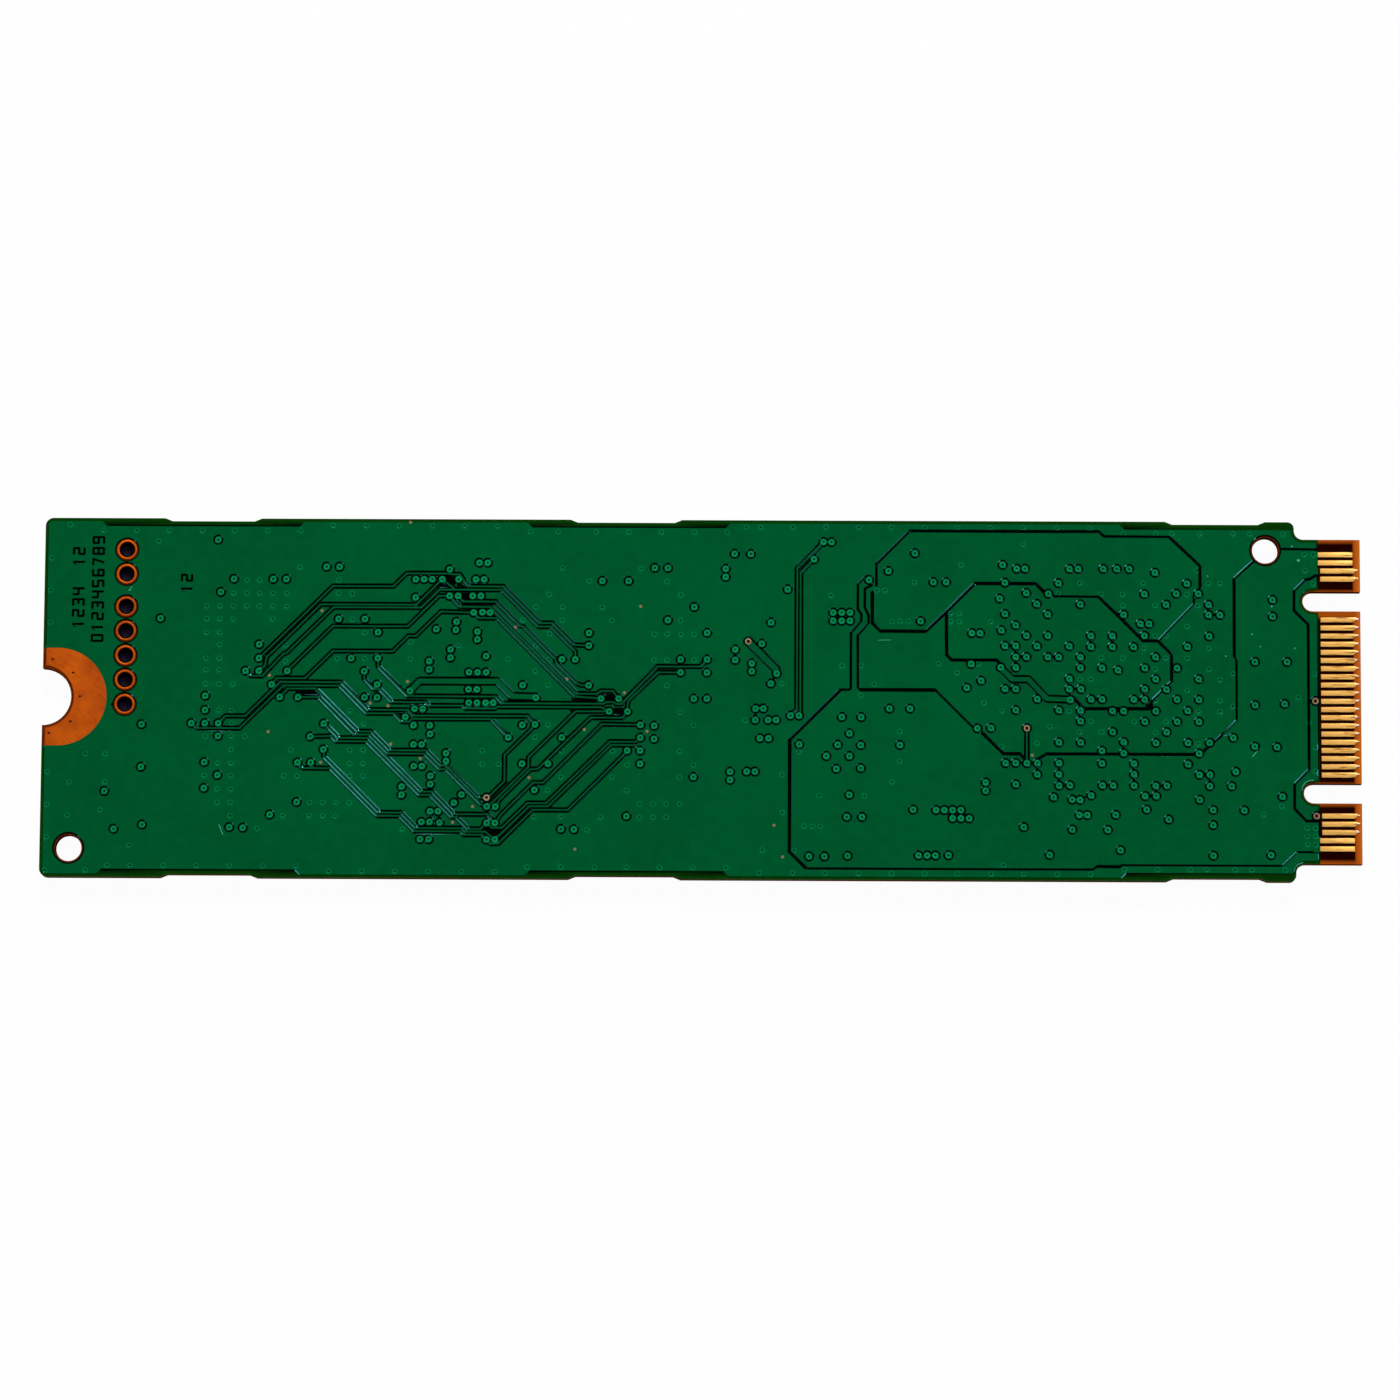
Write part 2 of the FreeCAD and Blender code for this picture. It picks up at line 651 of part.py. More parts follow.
def make_power_chip():
    """A square leadless chip with lands on four sides and a thermal land in the middle."""
    x, y, side = size.controller_x, size.power_y, size.power_side
    pitch, count = size.power_land_pitch, size.power_land_count
    low = size.front_z - size.land_thickness
    hang("power_chip_body", x, y, side, side, low, size.power_height - size.land_thickness)
    lands = hang("power_chip_lands", x, y, size.power_pad_side, size.power_pad_side,
                 size.front_z, size.land_thickness)
    rim = (side - size.land_length) / 2
    first = pitch * (count - 1) / 2
    for name, turn in (("high", 1), ("low", -1)):
        land_row(lands, f"{name}_x", x + rim * turn, y - first,
                 size.land_length, size.land_width, "Y_Axis", pitch, count)
        land_row(lands, f"{name}_y", x - first, y + rim * turn,
                 size.land_width, size.land_length, "X_Axis", pitch, count)


def make_boot_chip():
    """A leadless boot memory with lands along two sides."""
    x, y = size.boot_x, size.boot_y
    pitch, count = size.boot_land_pitch, size.boot_land_count
    low = size.front_z - size.land_thickness
    hang("boot_chip_body", x, y, size.boot_width, size.boot_length, low,
         size.boot_height - size.land_thickness)
    lands = new_body("boot_chip_lands")
    rim = (size.boot_width - size.land_length) / 2
    for name, turn in (("high", 1), ("low", -1)):
        land_row(lands, name, x + rim * turn, y - pitch * (count - 1) / 2,
                 size.land_length, size.land_width, "Y_Axis", pitch, count)


def make_crystal():
    """A clock crystal: ceramic base, metal lid and four corner lands."""
    x, y = size.boot_x, size.crystal_y
    low = size.front_z - size.land_thickness
    margin = size.crystal_lid_margin * 2
    hang("crystal_base", x, y, size.crystal_width, size.crystal_length, low, size.crystal_base_height)
    hang("crystal_lid", x, y, size.crystal_width - margin, size.crystal_length - margin,
         low - size.crystal_base_height, size.crystal_lid_height)
    lands = new_body("crystal_lands")
    corners = new_sketch(lands, "corners", size.front_z)
    reach_x = (size.crystal_width - size.crystal_land_side) / 2
    reach_y = (size.crystal_length - size.crystal_land_side) / 2
    for turn_x in (1, -1):
        for turn_y in (1, -1):
            rectangle(corners, x + reach_x * turn_x, y + reach_y * turn_y,
                      size.crystal_land_side, size.crystal_land_side)
    extrude(lands, "Pad", corners, size.land_thickness, upwards=False)


def make_inductors():
    """Moulded power inductors, as tall as the flash chips, with a terminal at each end."""
    x, y = size.inductor_x, size.inductor_y
    pitch, count = size.inductor_pitch, size.inductor_count
    bodies = hang("inductor_bodies", x, y, size.inductor_width, size.inductor_length,
                  size.front_z - size.land_thickness, size.inductor_height)
    repeat(bodies, bodies.Tip, "Y_Axis", pitch, count)
    terminals = new_body("inductor_terminals")
    reach = (size.inductor_length - size.inductor_terminal) / 2
    for name, turn in (("high", 1), ("low", -1)):
        land_row(terminals, name, x, y + reach * turn, size.inductor_width,
                 size.inductor_terminal, "Y_Axis", pitch, count)


# Two-ended parts on the underside

def lay_row(bodies, ends, kind, name, x, y, axis, pitch, count):
    """A row of two-ended parts that lie along the card, each a body between two metal ends."""
    length = getattr(size, f"{kind}_length")
    width = getattr(size, f"{kind}_width")
    height = getattr(size, f"{kind}_height")
    end = getattr(size, f"{kind}_end")
    middle = new_sketch(bodies, name, size.front_z)
    rectangle(middle, x, y, length - end * 2, width)
    repeat(bodies, extrude(bodies, "Pad", middle, height, upwards=False), axis, pitch, count)
    caps = new_sketch(ends, name, size.front_z)
    for turn in (1, -1):
        rectangle(caps, x + (length - end) / 2 * turn, y, end, width)
    repeat(ends, extrude(ends, "Pad", caps, height, upwards=False), axis, pitch, count)


def make_two_ended_parts():
    """Rows of capacitors and resistors beside the chips that they serve."""
    pitch, count = size.row_pitch, size.row_count
    short_pitch, short_count = size.short_pitch, size.short_count
    flash_left = size.flash_1_x - size.flash_width / 2
    controller_left = size.controller_x - size.controller_side / 2
    shelf_x = size.controller_x - short_pitch * (short_count - 1) / 2

    bodies = new_body("large_capacitor_bodies")
    ends = new_body("large_capacitor_ends")
    lay_row(bodies, ends, "large", "flash", flash_left - size.row_gap, size.row_y,
            "Y_Axis", pitch, count)
    lay_row(bodies, ends, "large", "shelf", shelf_x, size.shelf_y, "X_Axis", short_pitch, short_count)

    bodies = new_body("small_capacitor_bodies")
    ends = new_body("small_capacitor_ends")
    lay_row(bodies, ends, "small", "memory", size.flash_right + size.memory_gap / 2, size.row_y,
            "Y_Axis", pitch, count)
    lay_row(bodies, ends, "small", "boot", size.memory_right + size.boot_gap / 2, size.row_y,
            "Y_Axis", pitch, count)
    lay_row(bodies, ends, "small", "tip", size.controller_right + size.inductor_gap / 2, size.row_y,
            "Y_Axis", pitch, count)

    bodies = new_body("resistor_bodies")
    ends = new_body("resistor_ends")
    lay_row(bodies, ends, "resistor", "controller", controller_left - size.row_gap / 2, size.row_y,
            "Y_Axis", pitch, count)


def check_document():
    """Stop if any object failed, or any node is empty or not valid."""
    DOC.recompute()
    for item in DOC.Objects:
        if {"Invalid", "Error"} & set(item.State):
            raise RuntimeError(f"{item.Label} failed: {item.State}")
    for body in NODES:
        if body.Shape.isNull() or not body.Shape.isValid() or not body.Shape.Solids:
            raise RuntimeError(f"{body.Label} has no valid solid")


def main():
    """Build every node, check it and write it to its own file."""
    make_circuit_board()
    make_solder_masks()
    make_screw_pad("rear_screw_pad", size.rear_z)
    make_screw_pad("front_screw_pad", size.front_z)
    make_plated_holes()
    make_all_contacts()
    make_ball_mounted_chips()
    make_power_chip()
    make_boot_chip()
    make_crystal()
    make_inductors()
    make_two_ended_parts()
    check_document()
    os.makedirs("parts", exist_ok=True)
    for body in NODES:
        body.Shape.exportStep(f"parts/{body.Label}.step")
        box = body.Shape.BoundBox
        print(f"{body.Label}: {len(body.Shape.Solids)} solids, {body.Shape.Volume:.4f} mm3, "
              f"z {box.ZMin:.3f} to {box.ZMax:.3f}")


main()
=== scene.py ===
import math

import bpy
import bmesh
import numpy as np
from mathutils import Matrix, Vector
from mathutils.geometry import delaunay_2d_cdt


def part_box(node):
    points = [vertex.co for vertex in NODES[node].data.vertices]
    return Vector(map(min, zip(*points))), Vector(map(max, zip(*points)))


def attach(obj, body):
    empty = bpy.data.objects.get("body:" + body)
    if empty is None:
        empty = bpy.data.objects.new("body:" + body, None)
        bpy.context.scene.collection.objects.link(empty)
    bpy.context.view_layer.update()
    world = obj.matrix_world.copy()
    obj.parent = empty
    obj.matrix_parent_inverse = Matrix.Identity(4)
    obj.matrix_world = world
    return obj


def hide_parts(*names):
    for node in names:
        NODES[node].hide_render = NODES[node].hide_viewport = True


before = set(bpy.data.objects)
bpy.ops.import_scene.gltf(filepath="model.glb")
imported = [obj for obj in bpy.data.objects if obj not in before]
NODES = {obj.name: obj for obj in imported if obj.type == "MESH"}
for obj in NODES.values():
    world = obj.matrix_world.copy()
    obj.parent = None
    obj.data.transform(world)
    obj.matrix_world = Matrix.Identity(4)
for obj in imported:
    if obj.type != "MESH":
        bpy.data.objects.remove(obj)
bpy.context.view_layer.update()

bl_info = {
    "name": "Gumstick solid state drive",
    "version": (1, 0, 0),
    "blender": (4, 5, 0),
    "location": "View3D > Sidebar > Drive",
    "description": "Dresses the drive's solids with etched copper, solder mask, plating and chips",
    "category": "Object",
}

# Places on the card are in millimetres, with the frame's own axes, as a board maker draws them.
MM = 0.001
HALF_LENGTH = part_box("circuit_board")[1].x / MM
HALF_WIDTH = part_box("circuit_board")[1].y / MM
REAR_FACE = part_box("rear_solder_mask")[1].z / MM
REAR_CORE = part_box("circuit_board")[1].z / MM
FRONT_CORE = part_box("circuit_board")[0].z / MM
FRONT_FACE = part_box("front_solder_mask")[0].z / MM
MASK_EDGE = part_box("rear_solder_mask")[1].x / MM

# The outline of the card
CORNER_RADIUS = 0.5
SHOULDER_X = 36.0
SHOULDER_RADIUS = 0.4
TONGUE_HALF = 9.925
ROOT_RADIUS = 0.55
KEY_PLACES = (6.125, -5.625)
KEY_RADIUS = 0.6
KEY_OPENING = 0.67
KEY_ROOT_X = 37.1
RECESS_DEPTH = 0.18
RECESS_SLOPE = 0.45
RECESSES = ((-32.7, -26.8), (-8.0, -1.2), (28.15, 34.25))
NOTCH_RADIUS = 1.75
LAND_X = -39.1
LAND_RADIUS = 3.0
TOOLING_HOLES = ((-38.25, -9.25), (34.25, 9.25))
TOOLING_RADIUS = 0.85
TOOLING_WALL = 0.79
TOOLING_OPENING = 0.88
PLATED_X = -35.0
PLATED_Y = (9.05, 7.55, 5.55, 4.05, 2.55, 1.05, -0.45)
PLATED_RADIUS = 0.475
RING_RADIUS = 0.61
RING_OPENING = 0.665
PLATED_MOAT = 0.75
BARREL_WALL = 0.04
RING_SINK = 0.006
PLUG_HEIGHT = 0.35
TOOLING_MOAT = 0.98
LAND_BACK = 0.2
LAND_INNER = NOTCH_RADIUS + 0.17
LAND_SINK = 0.012
CONTACT_PITCH = 0.5
GROUND_CONTACTS = (9.0, 8.5, 8.0, -8.5, -9.0)
GROUND_ROOT = 37.15
GROUND_HALF = 0.2
SIGNAL_REACH = 8.25
# The fields of inner copper under the tongue, each by its two sides
INNER_COPPER = ((6.86, 9.66), (-4.92, 5.05), (-9.66, -6.46))

# Materials that several functions name
LACQUER = "solder_mask_cured_lacquer"
COPPER = "copper_etched_preserved"
LAMINATE = "glass_epoxy_laminate_routed"
MOULD = "epoxy_mould_compound"
SOLDER = "tin_solder_reflowed"
PAPER = "floor_paper_matt"

# The camera looks down on the rear face from 8 degrees to its lower side, 385 mm away
CAMERA_TURNS = (("Z", -0.2237), ("Y", -0.602), ("X", -8.0))
CAMERA_PLACE = (-0.06408, -0.06465, 385.0)
LENS_LENGTH = 163.218
SENSOR_WIDTH = 36.0
FLOOR_REACH = 900.0
FLOOR_DROP = 0.03

# Vias with a bare moat round their pads
VIAS = (
    (-29.46, 9.68), (-28.46, 7.27), (-29.25, 6.46), (-32.90, 4.83), (-27.68, 1.62), (-30.10, 0.08),
    (-26.07, 7.27), (-25.27, 7.27), (-22.83, 8.04), (-22.04, 8.04), (-17.39, 7.29), (-16.89, 7.29),
    (-16.39, 7.29), (-15.78, 7.29), (-17.39, 6.17), (-22.06, 4.83), (-20.46, 4.83), (-19.65, 4.02),
    (-16.11, 4.23), (-26.87, 3.25), (-26.87, 2.40), (-26.87, 1.62), (-25.14, 1.62), (-21.27, 2.42),
    (-19.65, 2.43), (-20.46, 1.62), (-16.52, 2.25), (-16.52, 1.75), (-26.08, 0.79), (-19.67, 0.81),
    (-17.67, 0.42), (-25.58, 0.02), (-24.46, 0.02), (-20.43, 0.02), (-19.67, 0.02),
    (-15.33, 7.90), (-14.79, 7.29), (-13.53, 8.32), (-13.02, 8.32), (-13.73, 7.29), (-13.23, 7.29),
    (-15.33, 6.27), (-14.81, 6.27), (-13.92, 6.27), (-13.42, 6.27), (-13.85, 5.25), (-13.32, 5.27),
    (-12.86, 5.25), (-14.89, 4.68), (-14.92, 4.18), (-13.61, 4.08), (-13.61, 3.60), (-15.23, 2.98),
    (-15.23, 2.48), (-13.07, 2.58), (-14.10, 1.58), (-13.58, 1.58), (-13.06, 1.58), (-14.12, 0.53),
    (-13.61, 0.53), (-10.83, 0.81), (-8.46, 2.40), (-7.65, 2.40), (-6.83, 4.02), (-6.83, 3.25),
    (-6.83, 0.81), (-6.04, 7.23), (-4.44, 7.23), (-10.02, 0.04), (-6.07, 0.00), (-5.00, 0.00),
    (-14.10, -0.29), (-13.60, -0.29), (-13.08, -0.29), (-12.61, -0.29),
    (-2.85, 8.04), (-2.06, 8.04), (-0.44, 5.64), (-2.04, 4.83), (0.35, 4.06), (2.00, 8.93),
    (2.98, 8.92), (1.46, 8.00), (1.46, 7.50), (7.40, 9.67), (7.89, 9.67), (6.83, 8.61), (5.23, 6.75),
    (4.23, 4.71), (3.67, 3.40), (2.06, 3.04), (2.06, 2.40), (3.07, 2.19), (3.07, 1.71), (-1.25, 2.42),
    (0.35, 2.42), (-1.25, 1.62), (0.35, 1.62), (4.58, 1.57), (4.23, 0.96), (-0.44, 0.02), (0.35, 0.02),
    (8.00, 5.33), (8.52, 5.33), (9.02, 5.33), (8.00, 4.83), (8.52, 4.83), (9.02, 4.83),
    (12.96, 9.00), (11.35, 7.90), (10.17, 7.35), (14.08, 7.23), (14.86, 7.23), (13.31, 4.83),
    (18.29, 8.31), (19.15, 8.07), (19.65, 8.07), (18.43, 7.21), (18.11, 6.23), (19.73, 6.58),
    (20.36, 5.91), (18.43, 5.29), (19.08, 4.60), (18.21, 4.28), (19.73, 3.96), (16.42, 4.10),
    (16.92, 4.10), (18.43, 3.33), (19.08, 3.33), (20.37, 3.32), (19.08, 2.65), (19.73, 2.65),
    (19.08, 2.00), (16.38, 2.21), (18.17, 2.00), (16.98, 1.19), (16.11, 0.75), (18.43, 0.69),
    (19.08, 0.69), (20.38, 0.07),
    (22.36, 8.07), (22.88, 8.07), (24.40, 8.08), (25.23, 8.08), (25.98, 8.07), (27.54, 7.86),
    (21.68, 7.19), (29.48, 7.19), (21.07, 6.54), (26.89, 6.54), (28.83, 6.57), (30.17, 6.57),
    (23.00, 5.90), (28.21, 5.90), (30.79, 5.90), (30.79, 5.27), (31.48, 5.27), (21.03, 5.27),
    (25.63, 5.27), (26.65, 4.71), (27.17, 4.71), (21.03, 3.96), (23.64, 3.96), (24.94, 3.96),
    (26.89, 3.98), (30.81, 3.96), (22.33, 3.32), (23.64, 3.29), (24.94, 3.29), (26.23, 3.29),
    (29.50, 3.32), (21.03, 2.65), (21.69, 2.65), (23.00, 2.65), (27.56, 2.67), (23.00, 2.00),
    (24.31, 2.00), (25.28, 1.86), (26.90, 2.00), (28.86, 2.00), (22.33, 1.32), (27.56, 1.32),
    (30.17, 1.33), (22.33, 0.69), (23.03, 0.69), (26.89, 0.71), (28.21, 0.69), (22.38, 0.03),
    (23.64, 0.07), (24.31, 0.07), (26.23, 0.07), (26.89, 0.07), (28.85, 0.08), (30.17, 0.07),
    (34.67, 6.21), (34.67, 5.19), (33.58, 2.40), (35.53, 2.40), (33.58, -0.25), (35.36, -0.17),
    (-30.10, -0.79), (-33.94, -1.68), (-30.92, -1.60), (-30.10, -1.60), (-29.29, -1.60),
    (-29.29, -2.38), (-33.94, -4.29), (-30.10, -3.98), (-29.29, -4.77), (-30.10, -5.57),
    (-36.13, -5.77), (-35.53, -8.08), (-33.81, -7.81), (-28.52, -7.95), (-27.70, -7.98),
    (-22.88, -1.60), (-23.69, -2.39), (-22.88, -3.18), (-24.44, -3.98), (-23.64, -3.98),
    (-24.46, -6.40), (-26.08, -7.17), (-17.39, -0.67), (-16.89, -0.67), (-17.94, -1.17),
    (-17.43, -1.68), (-16.44, -1.68), (-16.42, -2.21), (-17.42, -2.85), (-16.92, -2.85),
    (-17.39, -4.18), (-16.89, -4.18), (-16.37, -4.77), (-16.37, -5.27), (-18.11, -5.43),
    (-18.11, -5.93), (-16.37, -6.93), (-15.89, -6.93), (-16.89, -7.58), (-16.39, -7.58),
    (-15.79, -7.62), (-16.96, -8.63), (-16.44, -8.63),
    (-15.44, -3.38), (-15.44, -3.86), (-14.48, -5.90), (-14.93, -6.40), (-12.94, -6.63),
    (-12.42, -6.63), (-12.94, -7.63), (-12.44, -7.63), (-12.94, -8.64), (-12.44, -8.64),
    (-10.83, -1.63), (-10.06, -1.60), (-11.68, -2.40), (-8.43, -2.39), (-10.83, -4.00),
    (-9.25, -4.00), (-10.06, -5.60), (-5.57, -0.79), (-4.46, -0.79), (-3.67, -1.60), (-3.67, -2.38),
    (-4.46, -3.18), (-3.67, -3.18), (-3.67, -3.98), (-8.44, -7.98), (-7.65, -8.00), (-4.48, -7.18),
    (-2.83, -1.65), (-2.83, -2.46), (3.31, -0.58), (3.78, -0.57), (3.29, -1.27), (4.07, -1.27),
    (4.56, -1.27), (3.58, -2.39), (4.10, -2.39), (5.42, -1.00), (5.94, -1.00), (5.96, -2.75),
    (8.29, -2.77), (7.60, -3.46), (8.21, -4.24), (1.78, -4.44), (1.78, -4.94), (2.78, -4.43),
    (3.28, -4.43), (-0.44, -4.77), (6.57, -9.58), (7.50, -9.58),
    (8.54, -1.07), (9.71, -1.07), (11.42, -0.54), (12.67, -0.54), (9.00, -2.07), (9.69, -2.78),
    (9.00, -3.46), (12.06, -2.77), (9.69, -4.19), (9.00, -5.82), (8.85, -7.17), (9.77, -7.17),
    (12.86, -6.71), (14.25, -6.73), (14.75, -6.73), (15.25, -6.73), (15.75, -6.73), (15.25, -7.23),
    (15.75, -7.23), (16.25, -7.23), (17.58, -1.71), (16.75, -1.73), (19.08, -0.61), (18.46, -3.85),
    (19.07, -3.84), (19.75, -3.85), (20.38, -3.84), (20.38, -4.54), (19.07, -5.14), (17.25, -5.04),
    (17.25, -5.54), (19.55, -7.75), (13.19, -9.50), (13.71, -9.50), (14.21, -9.50), (15.00, -9.48),
    (8.90, -9.54),
    (21.69, -0.60), (23.00, -0.63), (23.00, -1.27), (24.94, -0.64), (25.61, -0.64), (27.56, -0.64),
    (29.50, -0.61), (26.89, -1.28), (28.85, -1.28), (30.17, -1.28), (24.94, -1.92), (28.21, -1.92),
    (21.69, -2.57), (23.00, -2.57), (25.61, -2.54), (27.56, -2.58), (29.50, -2.57), (30.81, -2.56),
    (24.29, -3.07), (25.61, -3.22), (30.17, -3.22), (32.24, -2.25), (21.69, -3.83), (21.68, -4.52),
    (24.29, -3.85), (26.23, -3.85), (26.23, -4.50), (29.50, -3.88), (30.19, -4.52), (30.81, -4.50),
    (32.38, -4.32), (21.69, -5.21), (22.35, -5.19), (24.31, -5.19), (24.96, -5.19), (26.23, -5.19),
    (27.54, -5.21), (28.21, -5.19), (30.81, -5.21), (32.13, -5.21), (26.89, -5.83), (27.56, -5.82),
    (21.36, -5.92), (22.48, -6.06), (22.96, -6.08), (23.63, -5.81), (30.19, -6.04), (26.98, -6.65),
    (31.00, -6.66), (22.92, -7.00), (23.39, -7.00), (25.11, -6.98), (28.31, -7.25), (31.00, -7.58),
    (22.48, -7.88), (24.63, -7.90), (21.11, -9.43), (25.39, -9.13), (31.00, -9.44),
    (33.54, -2.78), (34.88, -2.81), (35.19, -5.83), (32.88, -6.68), (34.48, -9.39),
)

# Vias that keep their copper bare: a ring of copper shows
BARE_VIAS = ((-12.96, -6.08), (2.85, 3.54), (19.75, -1.71), (37.23, 0.02), (37.25, -7.00))

# Vias inside the copper pour, which only dimple the lacquer: each row is a height and its places
POUR_VIAS = (
    (10.57, (-38.52, -22.46, -20.46, -18.45, -16.43, -14.46, -12.44, 2.71, 3.56, 5.54, 7.55, 9.54,
             11.54, 13.56, 15.56, 17.56, 19.56, 21.58, 23.58)),
    (10.24, (-36.46, -34.46, -32.46, -30.44, -28.46, -26.46, -24.46, -10.44, -8.75, -6.44, -4.44,
             -2.46, -0.44, 1.54, 25.63, 27.60, 28.58, 30.31, 32.31, 33.31, 35.33)),
    (-10.30, (-35.88, -34.50, -32.48, -30.48, -28.48, -26.46, -24.44, -10.48, -8.44, -6.39, -4.46,
              -2.46, -0.44, 1.56, 25.63, 27.63, 29.62, 30.62, 32.31, 33.31, 35.33)),
    (-10.61, (-39.67, -37.20, -22.46, -20.46, -18.46, -16.45, -14.44, -12.44, 3.56, 5.57, 7.56, 9.56,
              11.56, 13.56, 15.54, 17.58, 19.56, 21.58, 23.58)),
    (9.58, (-33.08, 19.57)), (9.00, (36.63, 37.17)), (8.50, (-39.60,)), (8.28, (15.78,)),
    (8.00, (-24.46, -8.46, -3.67, 30.08, 36.67)),
    (7.20, (-27.67, -26.92, -22.08, -6.83, -2.10, 12.94, 22.98, 26.83, 30.79, 31.48, 37.17)),
    (6.70, (10.65, 11.14)), (6.52, (-39.60, 21.67, 24.27, 25.58, 29.48)),
    (6.39, (-28.48, -27.67, -26.90, -26.08, -25.23, -22.08, -21.25, -9.27, -1.27, 7.87)),
    (5.83, (25.58, 27.54, 30.13)),
    (5.59, (-30.10, -29.29, -28.48, -27.67, -26.90, -26.08, -25.23, -10.08, -8.43, -6.04)),
    (5.29, (15.15, 15.67)),
    (4.80, (-30.10, -29.29, -28.47, -26.08, -21.25, -10.86, -8.46, -5.44, -1.27, 11.57, 12.06, 12.57,
            15.15, 15.67, 17.58)),
    (4.55, (-39.60, 29.48)),
    (3.96, (-30.10, -29.29, -20.46, -9.23, -2.85, -2.07, -1.25, -0.44, 27.54, 28.21)),
    (3.42, (-17.67,)), (3.21, (-29.29, -25.27, -14.75, -10.08, 26.86, 30.79)),
    (2.60, (24.27, 25.57, 28.18, 29.48)),
    (2.38, (-30.10, -29.29, -22.12, -20.46, -17.67, -11.73, -9.25, -2.87, -2.08, -0.44)),
    (2.21, (-25.27, 14.39, 16.85)), (2.06, (8.54, 9.71)), (1.93, (27.54, 30.79)),
    (1.66, (-30.10, -29.29, -10.08, 15.53, 32.25, 37.20)), (1.29, (22.98, 23.63, 31.46)),
    (0.95, (4.90, 10.50)), (0.80, (-30.10, -29.29, -28.45, -9.27, -2.08)), (0.63, (29.48,)),
    (0.24, (9.69, 36.20)), (0.00, (27.54, 31.45)), (-0.18, (17.17,)), (-0.33, (32.24,)),
    (-0.67, (18.25, 22.32, 30.15, 31.46)), (-0.82, (-29.29, -28.48, -21.27, -1.27)),
    (-1.30, (2.68, 23.63, 26.25, 28.18, 36.83)), (-1.62, (-28.48, -20.46, -9.27, -0.44, 21.14)),
    (-1.95, (12.04, 22.96, 24.27, 27.53)), (-2.40, (-30.08, -28.48, -27.67, -10.08)),
    (-2.63, (20.38, 30.13)), (-2.85, (18.20, 37.21)),
    (-3.22, (-28.48, -24.88, -21.28, -20.47, -13.25, -8.46, -5.35, -1.28, 5.93)),
    (-3.50, (-37.33, -36.14)), (-3.77, (12.04,)),
    (-4.05, (-29.29, -28.48, -21.27, -20.47, -13.25, -12.25, -4.46, -0.44)),
    (-4.29, (37.21,)), (-4.62, (-39.60, 4.92)),
    (-4.81, (-30.08, -28.48, -25.27, -24.46, -21.27, -20.46, -8.46, -5.39, -1.27)),
    (-5.04, (11.58,)), (-5.23, (-38.29, -36.14)), (-5.63, (-29.29, -28.48, -9.27, -4.48)),
    (-5.88, (7.17, 9.92)),
    (-6.43, (-29.29, -28.48, -23.67, -22.88, -22.08, -21.27, -3.68, -2.88, -2.08, -1.27, 35.15)),
    (-6.62, (-39.60,)), (-6.93, (-36.38, 4.96, 34.07)),
    (-7.25, (-38.35, -28.48, -25.29, -23.68, -22.86, -22.08, -10.08, -8.46, -6.04, -3.68, -2.88, -2.08)),
    (-7.75, (6.28, 6.79, 7.27, 36.67, 37.18)), (-8.03, (-26.86, -18.04, -6.86)),
    (-8.25, (36.67, 37.18)), (-8.60, (-39.60,)), (-8.75, (36.70, 37.18)), (-9.08, (-34.58,)),
    (-9.21, (3.75, 5.67)), (-10.08, (18.33,)),
)

# Filled vias whose copper shows through thin lacquer as a small orange dot
COPPER_DOTS = (
    (-17.75, 10.80), (-23.08, 5.33), (-26.22, 1.35), (-17.83, 1.00), (-20.08, -0.33), (-19.00, -0.50),
    (-26.25, -2.10), (-18.80, -2.83), (-17.00, -3.70), (-23.04, -3.97), (-15.00, -7.60),
    (-13.80, -6.63), (-10.40, -4.85), (-7.07, -1.90), (-11.30, 4.36), (-8.15, 1.19), (-4.65, 0.36),
    (-3.70, 5.67), (-7.58, -9.20), (-3.27, -2.00), (4.45, -7.70), (4.98, -9.62), (20.07, -3.36),
)

